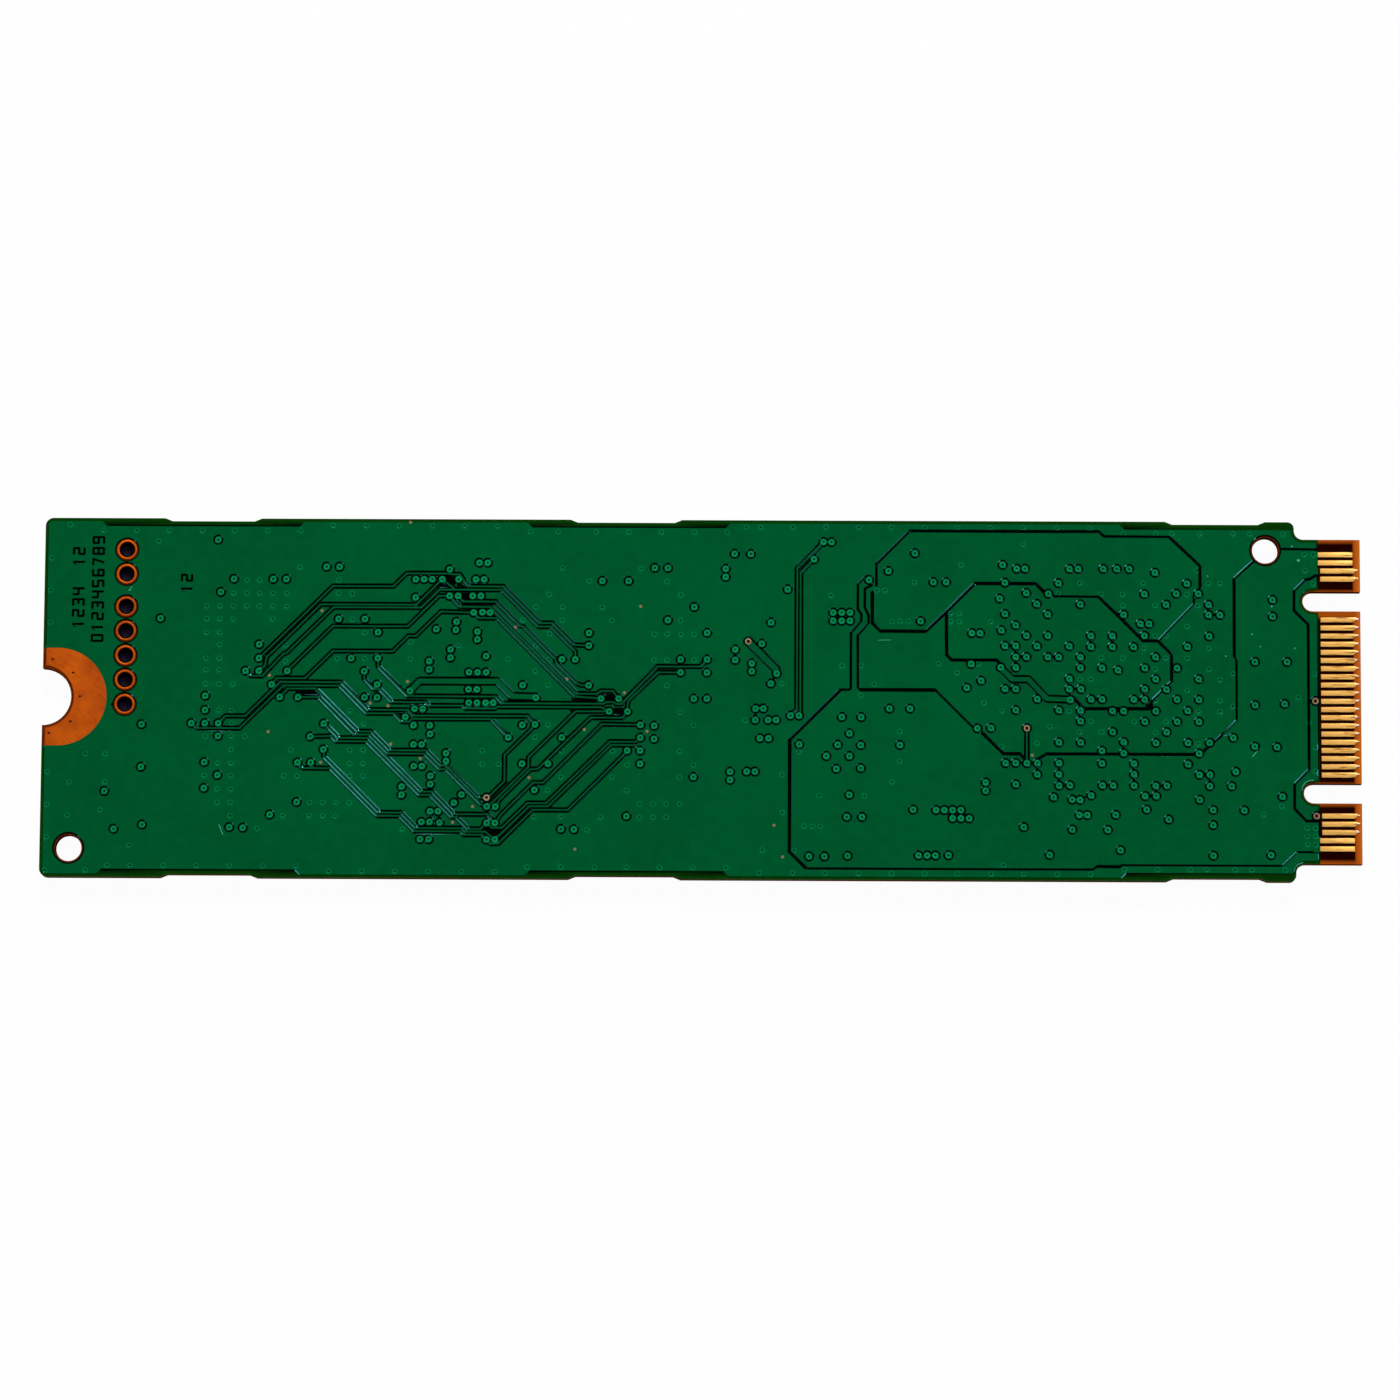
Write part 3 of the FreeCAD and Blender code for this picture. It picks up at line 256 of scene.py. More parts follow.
# Signal tracks: half width of the copper, and the corners
TRACK = 0.042
WIDE_TRACK = 0.15
TRACKS = (
    (TRACK, ((-26.87, 2.40), (-26.55, 2.72), (-22.42, 6.85), (-18.75, 6.85), (-17.95, 7.65),
             (-15.60, 7.65), (-15.20, 7.60), (-14.72, 7.60), (-14.45, 7.20), (-14.10, 6.86),
             (-12.05, 6.86), (-9.80, 4.62), (-9.06, 4.62), (-7.72, 3.28), (-6.83, 3.25))),
    (TRACK, ((-26.87, 1.62), (-26.50, 1.95), (-26.42, 2.45), (-23.15, 5.72), (-17.35, 5.72),
             (-15.78, 7.29), (-15.05, 6.72))),
    (TRACK, ((-27.68, 1.62), (-27.40, 1.31), (-26.65, 1.31), (-25.40, 2.66), (-25.20, 2.73),
             (-22.37, 5.54), (-17.05, 5.54), (-15.95, 6.65), (-12.15, 6.65), (-9.90, 4.40),
             (-9.15, 4.40), (-7.75, 3.00), (-7.65, 2.85), (-7.65, 2.40))),
    (TRACK, ((-25.14, 1.62), (-24.92, 1.87), (-22.40, 4.39), (-17.85, 4.39), (-15.97, 6.27),
             (-15.33, 6.27), (-14.68, 5.60), (-12.86, 5.60), (-7.55, 0.29), (-6.30, 0.29),
             (-6.10, 0.46), (-5.35, 0.46), (-5.00, 0.00))),
    (TRACK, ((-26.08, 0.79), (-25.78, 1.18), (-24.05, 1.18), (-22.38, 2.85), (-18.75, 2.85),
             (-17.80, 3.80), (-17.35, 3.80), (-15.85, 5.30), (-13.85, 5.25), (-13.52, 4.91),
             (-12.42, 4.91), (-7.62, 0.12), (-6.07, 0.00))),
    (TRACK, ((-14.81, 6.27), (-14.50, 5.93), (-12.50, 5.93), (-11.00, 4.43), (-10.80, 4.38),
             (-8.88, 2.46), (-8.82, 2.20), (-7.52, 0.92), (-7.30, 0.81), (-6.83, 0.81))),
    (TRACK, ((-19.65, 2.43), (-19.62, 1.92), (-17.82, 0.11), (-12.45, 0.09), (-12.03, -0.32),
             (-5.92, -0.32), (-5.75, -0.22), (-5.32, -0.22), (-5.15, -0.33), (-4.85, -0.33),
             (-2.65, 1.98), (-0.05, 1.98), (0.35, 2.42))),
    (TRACK, ((-20.46, 1.62), (-20.46, 1.15), (-19.85, 0.52), (-19.52, 0.52), (-18.75, -0.26),
             (-16.70, -0.26), (-16.48, -0.47), (-14.45, -0.47), (-14.28, -0.64), (-12.50, -0.64),
             (-12.35, -0.53), (-6.05, -0.53), (-5.57, -0.79))),
    (TRACK, ((-1.25, 1.62), (-2.62, 1.62), (-4.38, -0.10), (-4.46, -0.40), (-4.46, -0.79),
             (-4.78, -1.17), (-6.68, -1.17), (-8.33, -2.78), (-9.62, -4.08), (-9.88, -4.32),
             (-10.32, -4.35), (-12.12, -6.15), (-12.42, -6.63))),
    (TRACK, ((-5.57, -0.79), (-7.60, -0.79), (-10.44, -3.62), (-10.44, -4.20), (-12.62, -6.38),
             (-12.94, -6.63))),
    (TRACK, ((-10.06, -1.60), (-10.38, -1.98), (-11.89, -3.48), (-11.89, -5.08), (-12.78, -5.97),
             (-12.96, -6.08))),
    (TRACK, ((-29.29, -1.60), (-28.86, -1.15), (-27.65, -1.15), (-25.55, 0.94), (-21.85, 0.94),
             (-20.17, -0.74), (-17.78, -0.74), (-17.48, -1.09), (-10.50, -1.09), (-10.06, -1.60))),
    (TRACK, ((-30.92, -1.60), (-30.55, -1.90), (-28.00, -1.90), (-25.36, 0.73), (-21.95, 0.73),
             (-20.28, -0.96), (-18.62, -0.96), (-18.15, -1.47), (-17.72, -1.47), (-17.52, -1.29),
             (-12.72, -1.29), (-11.68, -2.40))),
    (TRACK, ((-25.58, 0.02), (-25.10, 0.54), (-23.42, 0.54), (-20.80, -2.07), (-19.99, -2.07),
             (-18.84, -3.22), (-16.65, -3.22), (-15.72, -4.14), (-15.42, -4.14), (-13.42, -6.10),
             (-12.96, -6.08))),
    (TRACK, ((-24.46, 0.02), (-23.22, 0.02), (-20.98, -2.26), (-20.10, -2.26), (-18.94, -3.42),
             (-16.74, -3.42), (-15.80, -4.36), (-15.44, -4.36), (-13.28, -6.50), (-12.94, -6.63))),
    (TRACK, ((-22.88, -1.60), (-22.55, -1.88), (-21.96, -2.47), (-20.18, -2.47), (-16.92, -5.73),
             (-16.26, -5.73), (-14.92, -7.10), (-12.90, -7.10), (-12.44, -7.63), (-12.08, -7.10),
             (-10.16, -5.16), (-9.55, -5.16), (-6.02, -1.57), (-3.67, -1.60))),
    (TRACK, ((-23.69, -2.39), (-22.42, -2.36), (-22.10, -2.68), (-20.27, -2.68), (-17.01, -5.94),
             (-16.38, -5.94), (-15.05, -7.28), (-14.78, -7.28), (-14.05, -8.00), (-13.32, -8.00),
             (-12.94, -7.63), (-12.62, -7.92), (-12.02, -7.92), (-10.48, -6.41), (-9.35, -6.41),
             (-5.52, -2.64), (-3.95, -2.64), (-3.67, -2.38))),
    (TRACK, ((-22.88, -3.18), (-22.84, -3.63), (-19.45, -7.02), (-18.12, -7.02), (-17.18, -7.96),
             (-14.42, -7.96), (-14.22, -8.16), (-13.02, -8.16), (-12.44, -8.64), (-10.36, -6.60),
             (-9.24, -6.60), (-5.44, -2.84), (-3.98, -2.84), (-3.67, -3.18))),
    (TRACK, ((-24.44, -3.98), (-24.16, -4.33), (-22.45, -4.33), (-19.56, -7.22), (-18.22, -7.22),
             (-17.29, -8.15), (-14.50, -8.15), (-14.30, -8.35), (-13.22, -8.35), (-12.94, -8.64),
             (-12.66, -8.90), (-12.22, -8.87), (-10.16, -6.82), (-8.04, -6.82), (-4.80, -3.55),
             (-4.46, -3.18))),
    (WIDE_TRACK, ((-17.67, 0.42), (-17.10, 1.03), (-12.38, 1.03), (-11.45, 0.12), (-10.02, 0.08))),
    (TRACK, ((7.40, 9.67), (5.81, 8.05), (5.81, -0.60), (5.42, -1.00))),
    (TRACK, ((6.83, 8.61), (6.02, 7.80), (6.02, -0.72), (5.94, -1.00))),
    (0.165, ((2.85, 3.54), (4.50, 1.90), (4.58, 1.57))),
    (0.05, ((19.75, -1.71), (19.75, -3.85))),
    (0.13, ((18.17, 2.00), (18.87, 1.28), (19.86, 1.28), (20.98, 0.09), (22.38, 0.05))),
)

# Etched lines that part one copper pour from the next: half width and corners
POUR_SPLITS = (
    (0.060, ((34.80, 9.36), (37.45, 9.31))),
    (0.085, ((33.62, 8.68), (32.34, 7.50), (32.34, 2.72))),
    (0.055, ((32.34, 2.72), (32.46, 2.48), (32.46, -1.17), (31.55, -2.08))),
    (0.085, ((31.55, -2.08), (30.35, -3.16), (29.90, -3.28), (20.95, -3.28), (20.40, -3.60))),
    (0.095, ((19.68, -3.62), (19.32, -3.28), (18.32, -3.28), (17.00, -1.95))),
    (0.060, ((16.62, -1.80), (14.25, 0.57))),
    (0.095, ((14.20, 0.60), (9.65, 0.60))),
    (0.065, ((9.65, 0.60), (9.50, 0.75), (9.50, 3.95), (10.15, 4.72), (10.15, 5.15), (9.92, 5.65),
             (9.92, 6.80), (10.35, 7.02))),
    (0.065, ((9.98, 7.60), (9.50, 7.10), (9.50, 5.55), (9.71, 5.25), (9.71, 4.85), (9.08, 4.08),
             (9.08, 0.68), (8.98, 0.60), (8.45, 0.60))),
    (0.095, ((8.45, 0.60), (5.385, -2.47), (5.385, -9.30), (6.40, -10.30))),
    (0.055, ((6.40, -10.32), (23.72, -10.32), (23.95, -10.14))),
    (0.085, ((23.95, -10.13), (25.40, -10.13))),
    (0.050, ((25.40, -10.05), (35.16, -10.04), (36.03, -9.21), (37.45, -9.20))),
    (0.095, ((10.375, 6.60), (10.375, 4.72), (10.88, 4.20), (13.62, 4.20), (14.88, 5.42),
             (16.60, 7.15), (20.30, 7.15), (20.78, 6.66))),
    (0.065, ((10.62, 6.98), (10.62, 8.35))),
    (0.080, ((10.62, 8.35), (12.63, 10.37), (20.50, 10.37), (24.15, 10.37), (24.46, 10.08))),
    (0.065, ((24.46, 10.08), (28.45, 10.06))),
    (0.085, ((28.45, 10.03), (30.28, 8.28), (30.28, 7.00))),
    (0.060, ((30.28, 6.95), (29.90, 6.45), (29.90, 5.96), (27.75, 3.70))),
    (0.060, ((21.40, 6.38), (24.10, 6.36))),
    (0.085, ((24.10, 6.36), (25.35, 5.15), (26.80, 3.66), (27.72, 3.66), (28.53, 2.84), (28.53, 1.20))),
    (0.070, ((28.53, 1.20), (27.38, 0.06), (27.15, -0.40))),
    (0.090, ((27.15, -0.50), (23.22, -0.50), (22.56, 0.20))),
    (0.090, ((14.88, 5.40), (14.88, 2.76), (15.22, 2.44), (17.90, 2.45), (18.22, 2.18))),
    (0.075, ((37.45, 7.82), (36.98, 7.52), (36.64, 7.44), (35.98, 6.78), (35.98, 5.55), (36.82, 4.70),
             (36.82, -4.16), (35.93, -5.07), (35.93, -6.58), (36.64, -7.32), (37.45, -7.30))),
)

# Patches with no copper between tracks that run too close for the pour to reach: straight-sided
DARK_PATCHES = (
    ((-15.62, 7.50), (-15.62, 7.02), (-15.22, 6.84), (-14.98, 6.95), (-14.98, 7.50)),
    ((-14.62, 6.48), (-14.62, 6.04), (-14.10, 6.04), (-14.10, 6.48)),
    ((-14.50, 5.87), (-14.50, 5.68), (-12.62, 5.68), (-12.50, 5.87)),
    ((-16.35, 7.00), (-16.00, 6.74), (-15.25, 6.74), (-15.25, 7.00)),
    ((-14.90, 7.00), (-14.90, 6.80), (-14.30, 6.80), (-14.60, 7.00)),
    ((-24.80, 0.53), (-24.55, 0.26), (-24.20, 0.12), (-23.14, 0.12), (-23.36, 0.53)),
    ((-25.55, 0.56), (-25.82, 0.28), (-25.45, 0.26), (-25.28, 0.42), (-25.30, 0.54)),
    ((-18.50, -0.93), (-18.28, -1.13), (-18.12, -1.06), (-18.08, -0.93)),
    ((-17.55, -0.92), (-17.45, -1.04), (-16.55, -1.04), (-16.55, -0.92)),
    ((-5.78, 0.30), (-5.78, -0.14), (-5.28, -0.14), (-5.28, 0.30)),
    ((-5.30, -0.55), (-5.30, -1.02), (-4.72, -1.02), (-4.72, -0.55)),
    ((-7.95, 0.02), (-7.75, -0.20), (-6.20, -0.20), (-6.20, 0.02)),
    ((-11.75, -0.04), (-11.75, -0.20), (-10.10, -0.20), (-10.10, -0.04)),
    ((-12.80, -6.00), (-12.62, -6.12), (-11.62, -5.12), (-11.80, -4.95)),
    ((-13.25, -7.98), (-12.95, -8.30), (-12.40, -8.36), (-11.85, -8.00), (-12.10, -7.82), (-12.70, -7.82)),
    ((-14.32, 1.42), (-14.32, 1.18), (-12.85, 1.18), (-12.85, 1.42)),
    ((-14.32, 0.37), (-14.32, 0.20), (-13.40, 0.20), (-13.40, 0.37)),
    ((-8.05, -0.68), (-7.80, -0.90), (-6.95, -0.95), (-7.30, -0.68)),
    ((5.95, 7.95), (6.05, 7.85), (6.62, 8.48), (6.50, 8.55)),
    ((26.95, -0.20), (26.95, -0.52), (27.40, -0.52), (27.40, -0.20)),
)

# Bands along the sides where the copper stands well back, each by its two ends
BARE_BANDS = ((-36.55, -24.20), (-10.62, 1.75), (25.40, 36.40))
BAND_REACH = 0.50
BAND_SLANT = 0.3
BAND_OVERLAP = 0.2
EDGE_PULLBACK = 0.20

# Plain layer numbers etched in the copper: where each line starts, its height, and its figures
FIGURES = (
    ((-37.60, 8.10), 0.64, "12"),
    ((-37.60, 4.28), 0.64, "1234"),
    ((-36.42, 3.42), 0.64, "0123456789"),
    ((-31.02, 6.48), 0.62, "12"),
)
FIGURE_STROKES = {
    "0": ((0, 0), (1, 0), (1, 1), (0, 1), (0, 0)),
    "1": ((0.5, 0), (0.5, 1), (0.1, 0.75)),
    "2": ((0, 1), (1, 1), (1, 0.5), (0, 0.5), (0, 0), (1, 0)),
    "3": ((0, 1), (1, 1), (1, 0.5), (0.3, 0.5), (1, 0.5), (1, 0), (0, 0)),
    "4": ((0, 1), (0, 0.5), (1, 0.5), (1, 1), (1, 0)),
    "5": ((1, 1), (0, 1), (0, 0.5), (1, 0.5), (1, 0), (0, 0)),
    "6": ((1, 1), (0, 1), (0, 0), (1, 0), (1, 0.5), (0, 0.5)),
    "7": ((0, 1), (1, 1), (0.4, 0)),
    "8": ((0, 0.5), (0, 0), (1, 0), (1, 1), (0, 1), (0, 0.5), (1, 0.5)),
    "9": ((0, 0), (1, 0), (1, 1), (0, 1), (0, 0.5), (1, 0.5)),
}
FIGURE_WIDTH = 0.36
FIGURE_STEP = 0.67
FIGURE_HALF_STROKE = 0.075

# The relief of lacquer over etched copper
ETCH_DEPTH = 0.034
ETCH_SLOPE = 0.068
VIA_PAD = 0.195
VIA_MOAT = VIA_PAD + 2.0 * ETCH_SLOPE
VIA_PIT = 0.06
PIT_DEPTH = 0.016
VIA_SIDES = 12
BARE_RING = 0.175
BARE_HOLE = 0.09
SLIVER = 0.065
BRIDGE_HALF = 0.075
SPLIT_SPREAD = 0.025
THINNEST = 0.004
# How far past a contour a place still counts as inside it
TOUCH = 0.004
LOOSE_TOUCH = 0.01
# How strongly the thin lacquer on a pour via's pad, a bare ring and a copper dot show
POUR_PAD_SHARE = 0.34
RING_SHARE = 0.9
DOT_SHARE = 0.5
# Where the lacquer beside the cut edges starts to pale, and over what width
EDGE_SHADE = 0.42
EDGE_FADE = 0.34
# How well the lacquer's slopes shine, by the distance from the middle and, on the screw half, across
SHINE_ALONG = ((6.0, 13.0, 24.0), (0.25, 0.32, 0.8))
SHINE_ACROSS = ((0.0, 4.0), (1.0, 0.4))
PAD_SHINE = 0.3
PATCH_RIM = 0.1
# A face counts as a slope between these upward shares of its normal, if it falls the field's own way
SLOPE_TILT = (0.5, 0.97)
SLOPE_FIT = 0.92
SLANT = 0.25
PROBE = 0.01
POUR_VIA_RADII = (0.20, 0.085, 0.05)
POUR_VIA_SINKS = (0.0, 0.004, 0.012)
DOT_RADII = (0.115, 0.075)
LAND_DOTS = ((-39.42, 2.28), (-38.17, 1.45), (-37.73, 0.0), (-38.27, -1.53), (-39.57, -2.25))
CHUNK = 2048
FAR = 1.5
MERGE_MM = 2e-5

# Rounding of the solids: points this close are one, flatter edges go, sharper ones are rounded
WELD_MM = 0.002
FLAT_ANGLE = 2
SHARP_ANGLE = 30

# Finishes that end sharply at a face, not shading into the next one
CRISP = ("over_copper", "over_pad", "scuff_and_glint", "shiny")

# Pale scratches and caught grains of dust in the lacquer, and painted highlights along the lacquer's rim
# (the last five lines): half a width, then the line's points
SCUFFS_AND_GLINTS = (
    (0.075, ((36.23, 8.65), (36.29, 8.65))), (0.04, ((35.85, 9.50), (35.90, 9.52))),
    (0.045, ((34.60, 5.80), (34.64, 5.82))), (0.04, ((33.40, 4.10), (33.44, 4.10))),
    (0.035, ((33.90, 3.33), (33.93, 3.35))), (0.035, ((36.00, 3.25), (36.04, 3.25))),
    (0.035, ((31.80, 2.73), (31.83, 2.75))), (0.035, ((30.73, 7.65), (30.76, 7.66))),
    (0.05, ((-34.82, 6.55), (-34.79, 6.58))), (0.04, ((-34.72, 6.70), (-34.70, 6.72))),
    (0.012, ((10.70, 3.65), (11.50, 3.66))), (0.02, ((33.40, -3.40), (33.65, -3.10))),
    (0.02, ((-29.15, -7.80), (-28.90, -8.40))),
    # Painted highlights: thin pale lines along the lacquer's rim round the key slot, at the corner and
    # along the tongue's root
    (0.018, ((36.38, -5.45), (36.43, -5.16), (36.60, -4.94), (36.85, -4.84), (37.10, -4.82))),
    (0.018, ((35.86, -10.35), (35.93, -10.12), (36.12, -9.93), (36.38, -9.83))),
    (0.018, ((37.34, -2.60), (37.34, -2.92))), (0.018, ((37.34, -4.20), (37.34, -4.55))),
    (0.018, ((37.34, -9.32), (37.34, -9.60))),
)


def srgb(code):
    """The linear colour of an sRGB hex value."""
    channel = np.array([int(code[place:place + 2], 16) for place in (1, 3, 5)]) / 255.0
    linear = np.where(channel <= 0.04045, channel / 12.92, ((channel + 0.055) / 1.055) ** 2.4)
    return (float(linear[0]), float(linear[1]), float(linear[2]), 1.0)


def colour_choice(name, description, code):
    """A colour that the panel shows, from its sRGB hex value."""
    return bpy.props.FloatVectorProperty(name=name, description=description, subtype="COLOR", size=4,
                                         min=0.0, max=1.0, default=srgb(code))


class DriveLook(bpy.types.PropertyGroup):
    """Colours and sizes of the drive's finishes."""

    mask_colour: colour_choice("Mask over copper", "Green lacquer where copper lies under it", "#00572C")
    pad_colour: colour_choice("Mask over via pads", "Thinner lacquer on the pads of the vias", "#04864D")
    gap_colour: colour_choice("Mask over gaps", "Lacquer over etched gaps, dark from below", "#000302")
    edge_colour: colour_choice("Mask at the sides", "Lacquer on laminate along the sides", "#0B3C04")
    copper_colour: colour_choice("Copper", "Bare copper of the lands and the plated holes", "#BC5206")
    gold_colour: colour_choice("Gold", "Hard gold of the contacts", "#FFCC70")
    laminate_colour: colour_choice("Laminate", "Glass-epoxy laminate of the tongue", "#B0520E")
    field_colour: colour_choice("Inner layer", "Inner copper that shades the laminate", "#1E0300")
    mould_colour: colour_choice("Chip mould", "Black moulding compound of the chips", "#1B1B1D")
    etch_depth: bpy.props.FloatProperty(
        name="Etch depth", description="How far the lacquer sinks over an etched gap",
        unit="LENGTH", precision=6, min=0.0, default=ETCH_DEPTH * MM)
    chip_edge: bpy.props.FloatProperty(
        name="Chip edge", description="Rounding of the edges of a moulded chip",
        unit="LENGTH", precision=6, min=0.0, default=0.00006)


class DriveStage(bpy.types.PropertyGroup):
    """Lights and floor of the picture."""

    left_power: bpy.props.FloatProperty(
        name="Left light", description="Power of the narrow light on the screw half",
        unit="POWER", min=0.0, precision=5, default=0.0006)
    right_power: bpy.props.FloatProperty(
        name="Right light", description="Power of the narrow light on the contact half",
        unit="POWER", min=0.0, precision=5, default=0.0006)
    overhead_power: bpy.props.FloatProperty(
        name="Overhead light", description="Power of the wide key light above the card",
        unit="POWER", min=0.0, default=2.75)
    room_level: bpy.props.FloatProperty(
        name="Room light", description="Even light from the whole room",
        subtype="FACTOR", min=0.0, max=1.0, default=0.05)
    floor_colour: colour_choice("Floor", "Pale floor", "#F4F4F4")


# Material building

# The socket that a kind of node is asked for, where that isn't its first one
MAIN_SOCKET = {"Mix": 2, "TexCoord": "Object", "Attribute": "Fac", "TexWave": "Fac"}


def add(tree, kind, inputs=(), **settings):
    """Add a node with its settings, fill or link its inputs, and give its main socket.

    The inputs are values or sockets, in the node's own order or by number or name. A Mix mixes colours.
    """
    node = tree.nodes.new("ShaderNode" + kind)
    if kind == "Mix":
        node.data_type = "RGBA"
    for name, value in settings.items():
        setattr(node, name, value)
    for key, value in inputs.items() if isinstance(inputs, dict) else enumerate(inputs):
        if isinstance(value, bpy.types.NodeSocket):
            tree.links.new(value, node.inputs[key])
        else:
            node.inputs[key].default_value = value
    return node.outputs[MAIN_SOCKET.get(kind, 0)]


def begin(name):
    """The empty node tree of a new material, and a socket with the place on the piece."""
    material = bpy.data.materials.new(name)
    material.use_nodes = True
    material.node_tree.nodes.clear()
    return material.node_tree, add(material.node_tree, "TexCoord")


def end(tree, shader, kind="OutputMaterial"):
    """Join the shader to the surface of the material or the world."""
    tree.links.new(shader, tree.nodes.new("ShaderNode" + kind).inputs["Surface"])


def surface(tree, colour, wear, low, high, relief, strength, height_mm, sockets):
    """The finish itself: a colour, a roughness from low to high with the wear, and a fine relief."""
    gloss = add(tree, "MapRange", (wear, 0.3, 0.7, low, high))
    bump = add(tree, "Bump", {"Height": relief, "Strength": strength, "Distance": height_mm * MM})
    end(tree, add(tree, "BsdfPrincipled", {
        "Base Color": colour, "Roughness": gloss, "Normal": bump, **sockets}))


def per_mm(size):
    """The texture scale at which one pattern step measures this many millimetres."""
    return 1.0 / (size * MM)


def mask_material(look):
    """Cured green solder mask: a glossy lacquer, deep green on copper, black over gaps."""
    tree, place = begin(LACQUER)
    copper, pad, edge, bare, pit, scuff_or_glint, bend, shiny = (
        add(tree, "Attribute", attribute_name=name)
        for name in ("over_copper", "over_pad", "near_edge", "bare_copper", "in_pit", "scuff_and_glint",
                     "on_slope", "shiny"))
    # Slow clouds in the lacquer's depth, about 5 mm wide, and finer mottling of 0.7 mm
    cloud = add(tree, "TexNoise", {"Vector": place, "Scale": per_mm(5.0), "Detail": 2.0})
    mottle = add(tree, "TexNoise", {"Vector": place, "Scale": per_mm(0.7), "Detail": 4.0})
    depth = add(tree, "Math", (cloud, mottle))
    level = add(tree, "MapRange", (depth, 0.7, 1.3, 0.9, 1.1))
    pour = add(tree, "Mix", {0: pad, 6: look.mask_colour, 7: look.pad_colour})
    hollow = add(tree, "Mix", {0: edge, 6: look.gap_colour, 7: look.edge_colour})
    dimple = add(tree, "Mix", {0: pit, 6: pour, 7: srgb("#00240F")})
    lacquer = add(tree, "Mix", {0: copper, 6: hollow, 7: dimple})
    shaded = add(tree, "VectorMath", {0: lacquer, "Scale": level}, operation="SCALE")
    ring = add(tree, "Mix", {0: pit, 6: srgb("#B88A70"), 7: srgb("#2E0C05")})
    colour = add(tree, "Mix", {0: bare, 6: shaded, 7: ring})
    # Dust caught in the lacquer, specks under 0.1 mm, a few in each square centimetre
    cells = add(tree, "TexVoronoi", {"Vector": place, "Scale": per_mm(1.6)})
    pick = add(tree, "SeparateColor", (cells.node.outputs["Color"],))
    chosen = add(tree, "Math", (pick, 0.98), operation="GREATER_THAN")
    close = add(tree, "MapRange", (cells, 0.015, 0.03, 0.4, 0.0))
    grain = add(tree, "Math", (chosen, close), operation="MULTIPLY")
    # The scratch and dust lines are painted pale, and along the lacquer's rim they are painted highlights
    faint = add(tree, "Math", (scuff_or_glint, 0.8), operation="MULTIPLY")
    speck_or_glint = add(tree, "Math", (grain, faint), operation="MAXIMUM")
    dusted_and_glinting = add(tree, "Mix", {0: speck_or_glint, 6: colour, 7: srgb("#5CB8A4")})
    # The lacquer is thin and smooth where it bends into the gaps, so the slopes catch the light
    slope = add(tree, "Math", (bend, shiny), operation="MULTIPLY")
    shine = add(tree, "MapRange", (slope, 0.0, 1.0, 0.08, 0.8))
    # Orange peel of the printed lacquer, 0.25 mm wide and a micron high
    peel = add(tree, "TexNoise", {"Vector": place, "Scale": per_mm(0.25), "Detail": 2.0})
    surface(tree, dusted_and_glinting, mottle, 0.12, 0.17, peel, 0.25, 0.004, {
        "IOR": 1.5, "Specular IOR Level": shine, "Specular Tint": srgb("#70FFF8")})


def copper_material(look):
    """Etched copper under a clear preservative: satin, with rubbed marks and darker pits."""
    tree, place = begin(COPPER)
    pit = add(tree, "Attribute", attribute_name="in_pit")
    tarnish = add(tree, "TexNoise", {"Vector": place, "Scale": per_mm(1.5), "Detail": 5.0})
    warm = add(tree, "MapRange", (tarnish, 0.35, 0.65, 0.0, 0.7))
    tone = add(tree, "Mix", {0: warm, 6: look.copper_colour, 7: srgb("#9A380A")})
    # Brushing before the mask was printed leaves fine slanting lines, 0.14 mm apart so that they show
    lines = add(tree, "Mapping", {"Vector": place, "Rotation": (0.0, 0.0, -0.7), "Scale": (4.0, 1.0, 1.0)},
                vector_type="TEXTURE")
    brush = add(tree, "TexNoise", {"Vector": lines, "Scale": per_mm(0.14), "Detail": 3.0})
    rubbed = add(tree, "MapRange", (brush, 0.5, 0.68, 0.0, 0.32))
    worn = add(tree, "Mix", {0: rubbed, 6: tone, 7: srgb("#7E2C06")})
    colour = add(tree, "Mix", {0: pit, 6: worn, 7: srgb("#1A0600")})
    surface(tree, colour, tarnish, 0.48, 0.62, brush, 0.3, 0.003, {
        "Metallic": 0.4, "Specular Tint": srgb("#FFA458")})


